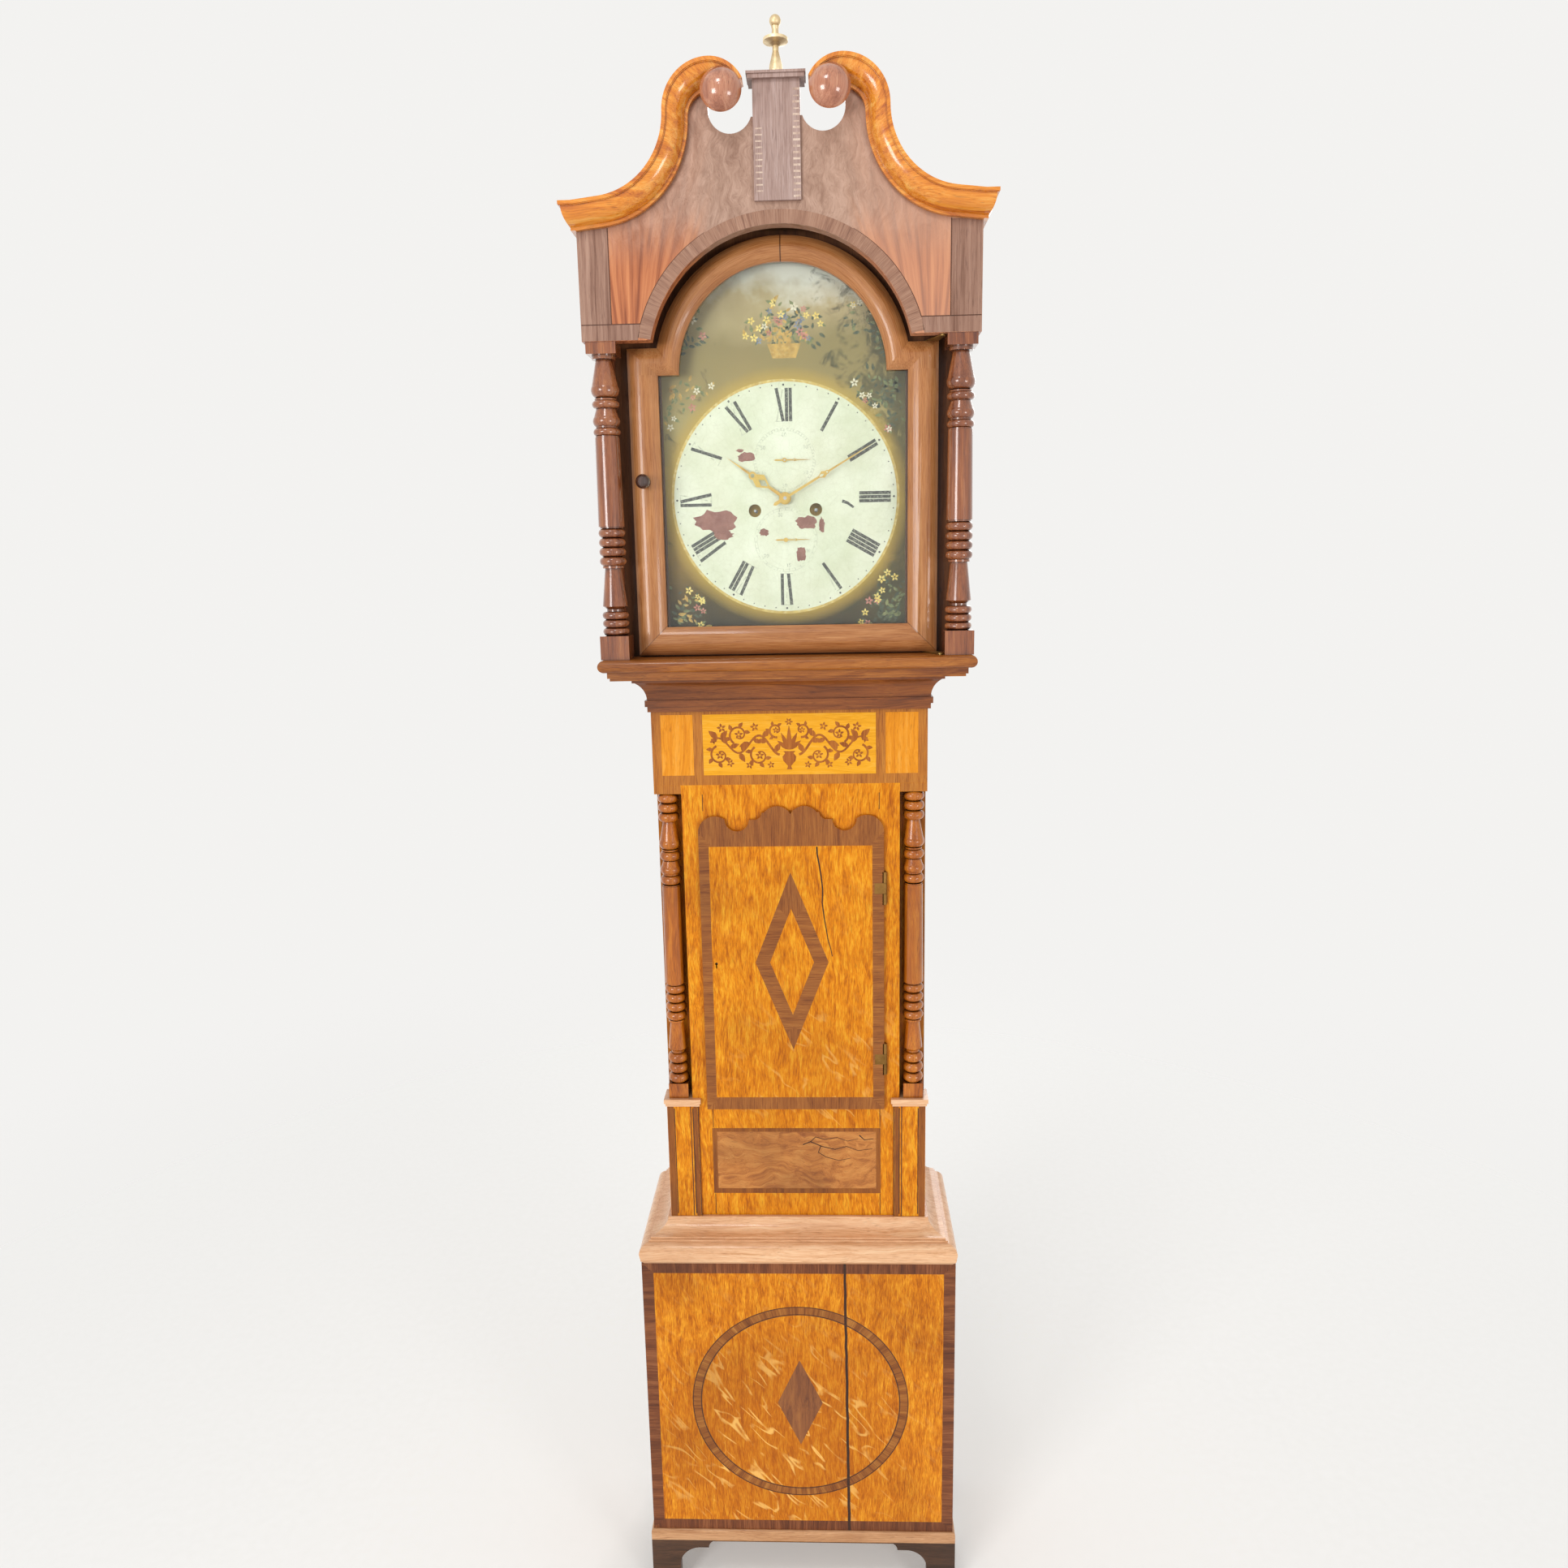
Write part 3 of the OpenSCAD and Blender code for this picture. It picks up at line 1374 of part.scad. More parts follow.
// A great wheel running free on its barrel's arbor, with a click beside the ratchet
module great_wheel(p, teeth, m, a, y, click_y) {
  difference() {
    union() {
      disc(p, y, y + 3) crossed(teeth, m, a, 4, 4, 16.5);
      disc(p, click_y, y + 0.1) rotate(40) polygon([[14.4, -2], [16.4, -2], [16.4, 4], [14.4, 0.5]]);
    }
    rod(p, y - 3, y + 5, 3 + run);
  }
}

module going_barrel() {
  color("#bf9a4a") placed() barrel_turning(going_at, 96.6);
}

module going_great_wheel() {
  color("#c9a54f") placed()
    great_wheel(going_at, great_teeth, great_m, bearing(going_at, centre_at), 100, 96.8);
}

module strike_barrel() {
  color("#bf9a4a") placed() barrel_turning(strike_at, 101);
}

module strike_great_wheel() {
  color("#c9a54f") placed()
    great_wheel(strike_at, strike_teeth, strike_m, bearing(strike_at, pin_at), 104.5, 101.2);
}

module pin_wheel() {
  pins = 8;
  color("#c9a54f") placed() {
    arbor(pin_at, thin_arbor_r);
    disc(pin_at, 103, 109) leaved(pinion_teeth, strike_m, bearing(pin_at, strike_at));
    disc(pin_at, 99.5, 101.5) toothed(pin_teeth, pin_m, bearing(pin_at, gather_at));
    for (i = [0:pins - 1]) rod(pin_at + step(17, 360/pins*i), 96, 99.6, 1);
  }
}

module pallet_wheel() {
  color("#c9a54f") placed() {
    arbor(gather_at, 2);
    disc(gather_at, 98, 103) leaved(escape_pinion, pin_m, bearing(gather_at, pin_at));
    disc(gather_at, 92, 94) crossed(pallet_teeth, pallet_m, bearing(gather_at, warning_at), 4, 3, 5);
  }
}

module warning_wheel() {
  color("#c9a54f") placed() {
    arbor(warning_at, 1.7);
    disc(warning_at, 90, 96) leaved(escape_pinion, pallet_m, bearing(warning_at, gather_at));
    disc(warning_at, 82, 84) crossed(warning_teeth, warning_m, bearing(warning_at, fly_at), 4, 2.5, 4);
  }
}

module fly() {
  vane = 10;
  color("#c9a54f") placed() {
    rod(fly_at, plate_y + 0.2, back_plate_y + plate_t - 0.2, pivot_d/2);
    disc(fly_at, 80.5, 86) leaved(fly_pinion, warning_m, bearing(fly_at, warning_at));
    disc(fly_at, 54, 78) panel([-vane, -0.5], [vane, 0.5]);
  }
}

module hammer() {
  head = [bell_x - sqrt(bell_r*bell_r - pow(97.5 - bell_y, 2)) - 1, z_rim + 6];
  color("#8f8a80") placed() {
    arbor(hammer_at, thin_arbor_r);
    disc([0, -z_dial], 96, 99) polygon([[hammer_at[0] - 1, z_dial + hammer_at[1] - 3],
      [hammer_at[0] + 3, z_dial + hammer_at[1]], [-72, z_dial + 66], [-72, head[1]],
      [-75, head[1]], [-75, z_dial + 63]]);
    disc(hammer_at, 96, 99) rotate(bearing(hammer_at, pin_at)) panel([0, -1.5], [14.8, 1.5]);
    translate([head[0] - 21, 97.5, head[1]]) rotate([0, 90, 0]) cylinder(h = 21, r = 4);
  }
}

// A weight with its pulley in a stirrup; the bottom of the line's loop rides with it
module weight_and_pulley(x) {
  strap = 8.5;
  up = pulley_z - weight_low;
  translate([x, weight_y, weight_low]) {
    cylinder(h = weight_h - 8, r = weight_d/2);
    translate([0, 0, weight_h - 8]) cylinder(h = 8, r1 = weight_d/2, r2 = weight_d/2 - 8);
    cylinder(h = weight_h + 9, r = 3);
    translate([-4, -strap, weight_h + 8]) cube([8, 2*strap, 3]);
    for (y = [-strap, strap - 2]) translate([-4, y, weight_h + 8]) cube([8, 2, up - weight_h]);
    translate([0, strap, up]) rotate([90, 0, 0]) cylinder(h = 2*strap, r = 2.5);
    translate([0, 0, up]) rotate([90, 0, 0]) {
      rotate_extrude() difference() {
        panel([2.5 + run, -5], [pulley_r + 2, 5]);
        panel([pulley_r - 1.3, -1.6], [pulley_r + 3, 1.6]);
      }
      rotate(180) rotate_extrude(angle = 180) translate([pulley_r, 0]) circle(line_r);
    }
  }
}

module going_weight() {
  color("#5a5650") placed() weight_and_pulley((going_near + going_far)/2);
}

module strike_weight() {
  color("#5a5650") placed() weight_and_pulley((strike_near + strike_far)/2);
}

// The two straight runs of a line, from the barrel and the post down to the pulley
module line_runs(a, b) {
  for (x = [a, b]) translate([x, weight_y, pulley_z]) cylinder(h = z_line - pulley_z, r = line_r);
}

module going_line() {
  color("#a58b62") placed() line_runs(going_near, going_far);
}

module strike_line() {
  color("#a58b62") placed() line_runs(strike_near, strike_far);
}

backboard();
trunk_sides();
trunk_front();
trunk_inlays();
trunk_columns();
trunk_pilasters();
throat_moulding();
base_front();
base_sides();
base_bottom();
base_cap_moulding();
base_skirting();
bracket_feet();
base_inlay();
seatboard();
hinge_plates();
trunk_door();
trunk_door_inlay();
trunk_door_fittings();
lock_bolt();
hood_sides();
hood_top();
tympanum();
swan_necks();
scroll_bosses();
centre_plinth();
finial();
hood_columns();
hood_base_moulding();
hood_mask();
hood_door();
hood_door_glass();
hood_door_fittings();
dial_plate();
movement_plates();
bell();
minute_hand();
hour_hand();
seconds_hand();
date_hand();
centre_wheel();
minute_wheel();
hour_wheel();
third_wheel();
escape_wheel();
anchor();
pendulum();
going_barrel();
going_great_wheel();
strike_barrel();
strike_great_wheel();
pin_wheel();
pallet_wheel();
warning_wheel();
fly();
hammer();
going_weight();
strike_weight();
going_line();
strike_line();
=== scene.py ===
# %% [markdown]
# A longcase clock in oak and mahogany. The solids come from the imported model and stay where
# they are. This lesson gives them their woods, metals and paint, adds the thin work that
# lies on them, such as veneers, inlay and the dial's figures, and sets up the floor, lamps
# and camera.

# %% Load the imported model
import bpy
import bmesh
import math
import random
from functools import partial
from mathutils import Matrix, Vector


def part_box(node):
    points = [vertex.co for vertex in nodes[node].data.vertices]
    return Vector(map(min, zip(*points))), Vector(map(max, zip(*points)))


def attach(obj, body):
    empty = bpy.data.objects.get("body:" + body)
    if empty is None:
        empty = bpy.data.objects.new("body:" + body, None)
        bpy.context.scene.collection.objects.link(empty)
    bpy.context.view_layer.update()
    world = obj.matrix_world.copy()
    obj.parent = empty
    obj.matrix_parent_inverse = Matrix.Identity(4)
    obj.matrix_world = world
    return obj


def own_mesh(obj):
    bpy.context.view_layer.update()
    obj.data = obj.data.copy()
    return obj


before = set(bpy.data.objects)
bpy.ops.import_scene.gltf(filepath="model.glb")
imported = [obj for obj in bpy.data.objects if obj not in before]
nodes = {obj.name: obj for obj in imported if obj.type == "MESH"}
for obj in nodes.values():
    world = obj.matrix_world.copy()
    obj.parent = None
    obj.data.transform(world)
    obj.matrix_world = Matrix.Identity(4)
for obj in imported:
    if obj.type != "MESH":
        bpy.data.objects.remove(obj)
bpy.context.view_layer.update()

# %% [markdown]
# The clock was drawn in millimetres, with its depths counted from the front of the trunk.
# One helper turns such a point into metres in the model's own frame. The depths of the main
# surfaces and some heights are kept here by name.

# %% Sizes of the clock
MM = 0.001
FRONT = -44.5
BASE, HOOD, PLINTH, DOOR, BLOCK, FACE = -39.0, -53.0, -57.0, -6.0, -3.0, 20.0
DIAL_Z = 1751.0
ARCH_Z = 1915.5
CIRCLE_Z = 342.1


def at(x, y, z):
    """A point of the drawing, in millimetres, as a point of the model in metres."""
    return Vector((x, y + FRONT, z)) * MM


print("dial centre at", tuple(at(0, FACE, DIAL_Z)))

# %% [markdown]
# A colour is written as the sRGB hex value that a picture editor shows, and shaders work
# in linear light, so one function turns the first into the second. Another adds a shader
# node. A second word in its kind is its mode, and its inputs are filled in the order of
# the editor: a noise takes a place, scale, detail, roughness, lacunarity and distortion,
# and a map range takes a value, the range it comes from and the range it goes to.

# %% Colour and node helpers
ZERO = (0, 0, 0)


def linear(code):
    """Linear RGBA from a hex colour."""
    parts = [int(code[i:i + 2], 16) / 255 for i in (1, 3, 5)]
    return [c / 12.92 if c <= 0.04045 else ((c + 0.055) / 1.055) ** 2.4 for c in parts] + [1]


def feed(socket, value):
    """Fills an input with a number, a vector, a hex colour or another node's output."""
    if isinstance(value, bpy.types.NodeSocket):
        socket.id_data.links.new(value, socket)
    else:
        socket.default_value = linear(value) if isinstance(value, str) else value


MODES = {"Math": "operation", "VectorMath": "operation", "Mix": "data_type", "TexVoronoi": "feature",
         "Mapping": "vector_type", "MapRange": "interpolation_type"}


def add_node(tree, kind, *values, **settings):
    """One new node with the inputs that it uses filled in order. Gives its first output."""
    kind, _, mode = kind.partition(" ")
    node = tree.nodes.new("ShaderNode" + kind)
    if mode:
        settings[MODES[kind]] = mode
    for name, value in settings.items():
        setattr(node, name, value)
    for socket, value in zip([s for s in node.inputs if s.enabled], values):
        feed(socket, value)
    return next((s for s in node.outputs if s.enabled), None)


def stops(output, *marks):
    """Sets the marks of a colour ramp, each a place and a hex colour."""
    ramp = output.node.color_ramp
    while len(ramp.elements) < len(marks):
        ramp.elements.new(0.5)
    for element, (place, code) in zip(ramp.elements, marks):
        element.position = place
        element.color = linear(code)
    return output


covered = set()


def finish(name, on=""):
    """Puts a new material on the solids named. Gives it, what adds its nodes, its shader,
    and the object's own coordinates."""
    material = bpy.data.materials.new(name)
    covered.update(on.split())
    for solid in on.split():
        nodes[solid].data.materials.clear()
        nodes[solid].data.materials.append(material)
    material.use_nodes = True
    material.node_tree.nodes.clear()
    add = partial(add_node, material.node_tree)
    shader = add("BsdfPrincipled").node
    add("OutputMaterial", shader.outputs[0])
    return material, add, shader, add("TexCoord").node.outputs["Object"]


def fill(shader, **named):
    """Fills inputs of the shader by their names."""
    for name, value in named.items():
        feed(shader.inputs[name.replace("_", " ")], value)


def dress(add, shader, colour, rough, height, strength, depth, **others):
    """Gives the shader its colour, roughness and relief, and whatever else is named."""
    bump = add("Bump", strength, depth)
    feed(bump.node.inputs["Height"], height)
    fill(shader, Base_Color=colour, Roughness=rough, Normal=bump, **others)


def thin(add, shader, share):
    """Lets a clear shader take this share of the finished one."""
    output = shader.outputs[0].links[0].to_socket
    feed(output, add("MixShader", share, shader.outputs[0], add("BsdfTransparent")))


print("helpers ready")

# %% [markdown]
# Wood is a bundle of fibres, so every wood here is one noise stretched far along the grain.
# A slower noise bends the fibres, a coarser one gives the growth bands, and a third one,
# cut off high, gives the dark pores, all drawn a little coarser than life. The grain runs
# up unless a lay says otherwise. A lay takes the object's own coordinates and gives back
# ones whose Z follows the grain. Each finish is put on its solids when it is made.

# %% How the grain can lie
def level_grain(add, place):
    """Grain from side to side."""
    return add("Mapping", place, ZERO, (0, math.pi / 2, 0))


def polar(add, place, x, z, along="out"):
    """Grain out from a centre in the front view, or round it."""
    across, depth, up = add("SeparateXYZ", place).node.outputs
    dx = add("Math SUBTRACT", across, x * MM)
    dz = add("Math SUBTRACT", up, z * MM)
    radius = add("VectorMath LENGTH", add("CombineXYZ", dx, dz))
    run = add("Math MULTIPLY", add("Math ARCTAN2", dz, dx), 0.16)
    first, last = (radius, run) if along == "round" else (run, radius)
    return add("CombineXYZ", first, depth, last)


def out_from(x, z):
    """A lay whose grain points away from a centre."""
    return lambda add, place: polar(add, place, x, z)


def margins(add, place, half_width, low):
    """The distances of a point from the middle, from a side border and from a lower one."""
    across, _, height = add("SeparateXYZ", place).node.outputs
    side = add("Math ABSOLUTE", across)
    out = add("Math SUBTRACT", half_width * MM, side)
    up = add("Math SUBTRACT", height, low * MM)
    return side, out, up, height


def banding(half_width, low, high):
    """Cross grain for a border: side to side in the upright parts, up and down in the others."""
    def lay(add, place):
        _, out, up, height = margins(add, place, half_width, low)
        down = add("Math SUBTRACT", high * MM, height)
        end = add("Math MINIMUM", down, up)
        return add("Mix VECTOR", add("Math LESS_THAN", out, end), place, level_grain(add, place))
    return lay


print("lays: level, polar, banding")

# %% One function for every wood
def wood(name, shades, on="", lay=None, bend=0.02, bands=0.5, pores=0.35, rough=(0.3, 0.5), coat=0.15,
         age=0.35, fleck=None, wander=7.0, fibres=(900, 22), figure=(95, 5), shine=0.3, corner_dirt_and_shade=0.55):
    """A wood from its dark, middle and light grain and its patina, with figure and polish.

    fibres and figure give the fineness of the grain across it and along it, per metre, and
    the last argument is how far corners and grooves darken, as dirt and as painted shade."""
    dark, middle, light, patina = shades.split()
    material, add, shader, place = finish(name, on)
    run = lay(add, place) if lay else place
    slow = add("TexNoise", run, wander, 2.0).node.outputs["Color"]
    bent = add("VectorMath MULTIPLY_ADD", slow, (bend, bend, bend), run)
    fine, coarse, pits = [add("Mapping", bent, ZERO, ZERO, (wide, wide, along))
                          for wide, along in (fibres, figure, (700, 55))]
    fibre = add("TexNoise", fine, 1.0, 5.0, 0.65)
    growth = add("TexNoise", coarse, 1.0, 3.0, 0.5, 2.0, 0.8)
    tone = add("Mix", bands, fibre, growth)
    colour = stops(add("ValToRGB", tone), (0.34, dark), (0.5, middle), (0.66, light))
    pore = add("MapRange", add("TexNoise", pits, 1.0, 2.0), 0.58, 0.72, 0, pores)
    colour = add("Mix RGBA", pore, colour, patina)
    if fleck:
        colour = fleck(add, place, colour)
    wide = add("TexNoise", place, 5.0, 4.0, 0.6)
    worn = add("MapRange", wide, 0.48, 0.75, 0, age)
    # Ambient occlusion darkens corners and grooves towards the patina: partly dirt, partly painted
    # shade.
    corner = add("AmbientOcclusion", "#ffffff", 0.012, samples=6, only_local=False)
    dirt_and_shade = add("MapRange", corner.node.outputs["AO"], 0.35, 0.8, corner_dirt_and_shade, 0)
    for share in (worn, dirt_and_shade):
        colour = add("Mix RGBA", share, colour, patina)
    dull = add("MapRange", fibre, 0.3, 0.7, *rough)
    height = add("Math SUBTRACT", fibre, pore)
    dress(add, shader, colour, dull, height, 0.25, 0.0004, Specular_IOR_Level=shine,
          Coat_Weight=coat, Coat_Roughness=0.1)
    return material


print("wood() ready")

# %% [markdown]
# Quarter-sawn oak shows its rays as pale, broken, winding flecks that cross the grain. They
# are drawn where a noise, stretched along a slope, passes through its middle value, and a
# second noise breaks them up. The wood between them is darker. They are strongest inside
# the circle of the base and weaker away from it.

# %% Ray fleck of the oak
def ray_fleck(strength, x, z, reach):
    """Pale rays round a point of the front view."""
    def draw(add, place, colour):
        away = add("VectorMath DISTANCE", place, at(x, BASE, z))
        near = add("MapRange", away, reach * 0.6 * MM, reach * 1.4 * MM, strength, strength * 0.12)
        slope = add("Mapping TEXTURE", place, ZERO, (0, -0.75, 0), (0.021, 0.03, 0.08))
        ray = add("TexNoise", slope, 1.0, 1.5, 0.4, 2.0, 0.5)
        off = add("Math ABSOLUTE", add("Math SUBTRACT", ray, 0.5))
        winding = add("MapRange", off, 0.014, 0.04, 1, 0)
        broken = add("MapRange", add("TexNoise", place, 26.0, 4.0), 0.46, 0.58)
        colour = add("Mix RGBA", add("Math MULTIPLY", near, 0.5), colour, "#a85406")
        mask = add("Math MULTIPLY", add("Math MULTIPLY", winding, broken), near)
        return add("Mix RGBA", mask, colour, "#ffc76a")
    return draw


MOTTLED = {"bands": 0.42, "fibres": (620, 75), "figure": (130, 24), "coat": 0.08, "shine": 0.2}
oak_upright = wood("waxed oak, upright", "#aa5502 #e78a08 #ffbb30 #6a330a",
                   "trunk_front trunk_pilasters trunk_door", fleck=ray_fleck(0.4, 50, 880, 120),
                   **MOTTLED)
wood("quarter-sawn oak of the base", "#a04d02 #dc8009 #ffb22c #6a330a", "base_front",
     fleck=ray_fleck(0.85, -35, CIRCLE_Z - 75, 165), **MOTTLED)
wood("oak of the sides", "#8e4b0c #b56a18 #cf8529 #6a330a", "trunk_sides base_sides", **MOTTLED)
print("oaks made:", len(bpy.data.materials))

# %% [markdown]
# Mahogany is redder, with finer pores and a French polish, which is shellac rubbed on in
# many thin coats, so turned work has sharp highlights. The cap moulding of the base and the
# pilaster caps are a pale copy of the moulding mahogany, a painted highlight of the light on
# their tops, and the throat under the hood is a darker copy, painted shade. The moulding of
# the foot is paler than the rest, and the front of the hood grows paler towards the right.

# %% Mahoganies
SATIN = {"lay": level_grain, "rough": (0.25, 0.42), "coat": 0.3}
PALE_MOULDING = {"lay": level_grain, "rough": (0.28, 0.45), "bands": 0.4}
wood("turned mahogany, French polished", "#5e2a14 #92502a #b36f40 #3a170a", "hood_columns",
     bend=0.012, bands=0.6, rough=(0.18, 0.32), corner_dirt_and_shade=1.0, coat=0.9)
wood("turned column of the trunk, stained", "#8a420c #bd6714 #dc8a28 #3a170a", "trunk_columns",
     bend=0.012, rough=(0.16, 0.28), corner_dirt_and_shade=1.0, coat=0.35, age=0.3)
# The throat lies under the hood, so its mahogany is a darker copy of the moulding above: painted shade.
wood("mahogany moulding of the throat, painted darker as in shade", "#5f2e0e #8c4b1c #a86328 #35170a", "throat_moulding", **SATIN)
wood("dark mahogany of the feet", "#33200f #4d3220 #63422b #1d100a", "bracket_feet", lay=level_grain,
     rough=(0.4, 0.6), coat=0.2)
wood("mahogany moulding, level", "#743810 #a76122 #c47f3a #451d0d", "hood_base_moulding", **SATIN)
# The cap moulding of the base is a pale copy of the moulding mahogany: a painted highlight of the light
# that falls on its top.
pale_lit_mahogany = wood("mahogany moulding painted pale with light from above", "#cf9462 #f2bd8f #ffd8ad #8e5230",
                    "base_cap_moulding", coat=0.4, age=0.2, **PALE_MOULDING)
wood("mahogany moulding of the foot", "#a97145 #cd996b #e5b387 #7a4222", "base_skirting", coat=0.3,
     age=0.3, **PALE_MOULDING)
mahogany_side = wood("mahogany of the hood's sides", "#642e16 #8c4a27 #a8623a #35160b", "hood_sides")
wood("swan neck mahogany", "#bc5c0e #ec9026 #febc5b #5a2309", "swan_necks", bend=0.03, bands=0.6,
     lay=out_from(0, 2120), rough=(0.2, 0.34), coat=0.7, age=0.3)
wood("turned mahogany boss", "#965539 #c07c5c #dba07e #3f1a10", "scroll_bosses", bend=0.04, bands=0.6,
     rough=(0.14, 0.25), coat=0.9)


def flame_corners(add, place, colour):
    """Flame figure in both corners of the hood's front, opening like a fan from its foot."""
    across, depth, up = add("SeparateXYZ", place).node.outputs
    side = add("Math ABSOLUTE", across)
    fold = polar(add, add("CombineXYZ", side, depth, up), 200, 1845)
    fan = add("Mapping", fold, ZERO, ZERO, (150, 150, 7))
    figure = add("TexNoise", fan, 1.0, 4.0, 0.5, 2.0, 0.5)
    fire = stops(add("ValToRGB", figure), (0.36, "#8f4a28"), (0.5, "#bd6f43"), (0.64, "#d98c5a"))
    drift = add("Math MULTIPLY_ADD", figure, 0.05, side)
    fall = add("MapRange SMOOTHSTEP", up, 2.03, 2.13, 1, 0.12)
    mask = add("Math MULTIPLY", add("MapRange SMOOTHSTEP", drift, 0.105, 0.15), fall)
    colour = add("Mix RGBA", mask, colour, fire)
    # The front grows paler towards the right.
    paler_right = add("MapRange", across, 0.03, 0.15, 0, 0.28)
    return add("Mix RGBA", paler_right, colour, "#e6bba2")


wood("faded mahogany veneer with flame corners", "#94705c #b08c78 #c6a28e #6e4636", "tympanum",
     bend=0.05, bands=0.6, wander=22.0, fibres=(420, 60), figure=(70, 22), rough=(0.35, 0.55),
     coat=0.2, shine=0.35, fleck=flame_corners)
wood("plinth veneer, dull purple-brown", "#8f7065 #b1948a #c8aea6 #4f3028", "centre_plinth",
     bend=0.01, bands=0.4, rough=(0.4, 0.6), coat=0.2, age=0.25)
burr = wood("figured veneer of the lower panel", "#965526 #c27a38 #d8944c #4a240f", lay=level_grain,
            bend=0.07, bands=0.7, wander=14.0, coat=0.2, age=0.6)
print("mahoganies made:", len(bpy.data.materials))

# %% [markdown]
# Crossbanding is a strip of veneer cut across the grain, so that its fibres point at the
# edge that it follows. End grain drinks the polish and stays darker and duller.

# %% Crossbandings
BAND = {"rough": (0.35, 0.5), "coat": 0.12}
HOOD_BAND = {"rough": (0.35, 0.55), "coat": 0.25, "bend": 0.006}
wood("crossbanding of the base", "#4c230f #7a411f #a0633a #2c1108", "base_inlay", bend=0.01,
     bands=0.45, lay=banding(245, 103, 591), age=0.5, **BAND)
wood("crossbanding of the door", "#6e3611 #985822 #b57434 #3a190b", "trunk_door_inlay", bend=0.01,
     bands=0.35, lay=banding(136.5, 834, 1274), **BAND)
band_frieze = wood("crossbanding of the frieze", "#8a4810 #b96f20 #d08a34 #45200d", "trunk_inlays",
                   bend=0.01, bands=0.35, **BAND)
band_ring = wood("crossbanding of the circle", "#693410 #9b5a1e #bf8036 #3a190b", bend=0.006,
                 bands=0.55, lay=out_from(0, CIRCLE_Z), **BAND)
band_arch = wood("crossbanding of the arch", "#835a47 #a37962 #ba9179 #41201a", bands=0.4,
                 lay=out_from(0, ARCH_Z), **HOOD_BAND)
band_edge = wood("banding of the hood's edge", "#744d3b #9c7562 #b6907c #41201a", bands=0.6,
                 fibres=(500, 16), figure=(130, 3), **HOOD_BAND)
print("veneers made:", len(bpy.data.materials))

# %% [markdown]
# The inside is plain softwood, dark with age. The frame of the hood's door is mahogany,
# mitred at the corners and butted at the top of the arch. The grain runs along each piece
# and the joints show as fine dark lines, so this finish finds out which piece a point is
# on.

# %% Door frame with its mitres
FRAME_HALF, FRAME_LOW = 211, 1536


def frame_grain(add, place):
    """Grain along the bottom rail, the stiles and the arch of the hood's door."""
    _, out, up, height = margins(add, place, FRAME_HALF, FRAME_LOW)
    low = add("Math LESS_THAN", up, out)
    high = add("Math GREATER_THAN", height, ARCH_Z * MM)
    rail = add("Mix VECTOR", low, place, level_grain(add, place))
    return add("Mix VECTOR", high, rail, polar(add, place, 0, ARCH_Z, "round"))


def frame_joints(add, place, colour):
    """Dark lines at the two lower mitres and at the top of the arch."""
    side, out, up, height = margins(add, place, FRAME_HALF, FRAME_LOW)
    off = add("Math ABSOLUTE", add("Math SUBTRACT", up, out))
    mitre = add("MapRange", off, 0.0003, 0.0009, 0.6, 0)
    top = add("Math GREATER_THAN", height, 2.0)
    butt = add("Math MULTIPLY", add("MapRange", side, 0.0005, 0.0012, 0.85, 0), top)
    dark = add("Math MAXIMUM", mitre, butt)
    return add("Mix RGBA", dark, colour, "#3a1a0d")


wood("mahogany of the hood's door", "#9f6134 #bb7c48 #cf945f #5f2f18", "hood_door", lay=frame_grain,
     bend=0.012, bands=0.35, pores=0.2, fleck=frame_joints, rough=(0.24, 0.38), coat=0.3, age=0.25)
wood("softwood, dark with age", "#5a3a1f #74502d #8c6840 #2e1c0e", "backboard", coat=0.0,
     rough=(0.55, 0.75))
wood("softwood, level", "#5a3a1f #74502d #8c6840 #2e1c0e", "base_bottom seatboard hood_top", coat=0.0,
     rough=(0.55, 0.75), lay=level_grain)
wood("stained softwood of the mask", "#4a2b17 #6a4023 #7f5230 #241107", "hood_mask", coat=0.1,
     rough=(0.45, 0.6))
knob_wood = wood("ebonised knob", "#2c1a15 #452b23 #5e4036 #120a08", coat=0.8, rough=(0.2, 0.3))
print("woods made:", len(bpy.data.materials))

# %% [markdown]
# The movement is yellow brass on steel arbors. A wheel and its arbor are one solid here, so
# near the axis its finish is bright steel and outside that it is brass. Wheels are turned
# in a lathe, which leaves fine rings.

# %% Brass, steel and iron
STEEL = "#b9babd"


def from_axis(add, place, x, z):
    """The distance of a point from a line that runs straight back."""
    flat = add("VectorMath MULTIPLY", place, (1, 0, 1))
    return add("VectorMath DISTANCE", flat, (x * MM, 0, z * MM))


def metal(name, code, worn, rough, on="", axis=None, core=None):
    """A metal with fine scratches, tarnish in soft patches, and a steel core if one is given."""
    material, add, shader, place = finish(name, on)
    run = polar(add, place, *axis, "round") if axis else place
    fine = add("Mapping", run, ZERO, ZERO, (6.0, 1.0, 0.4) if axis else (1, 1, 3))
    scratch = add("TexNoise", fine, 300.0, 4.0)
    soft = add("TexNoise", place, 30.0, 5.0, 0.6)
    spot = add("MapRange", soft, 0.45, 0.72)
    colour = add("Mix RGBA", spot, code, worn)
    if core:
        away = from_axis(add, place, *axis)
        inside = add("Math LESS_THAN", away, core * MM)
        colour = add("Mix RGBA", inside, colour, STEEL)
    dull = add("MapRange", soft, 0.3, 0.7, rough, rough + 0.2)
    dress(add, shader, colour, dull, scratch, 0.15, 0.0001, Metallic=1.0)
    return material


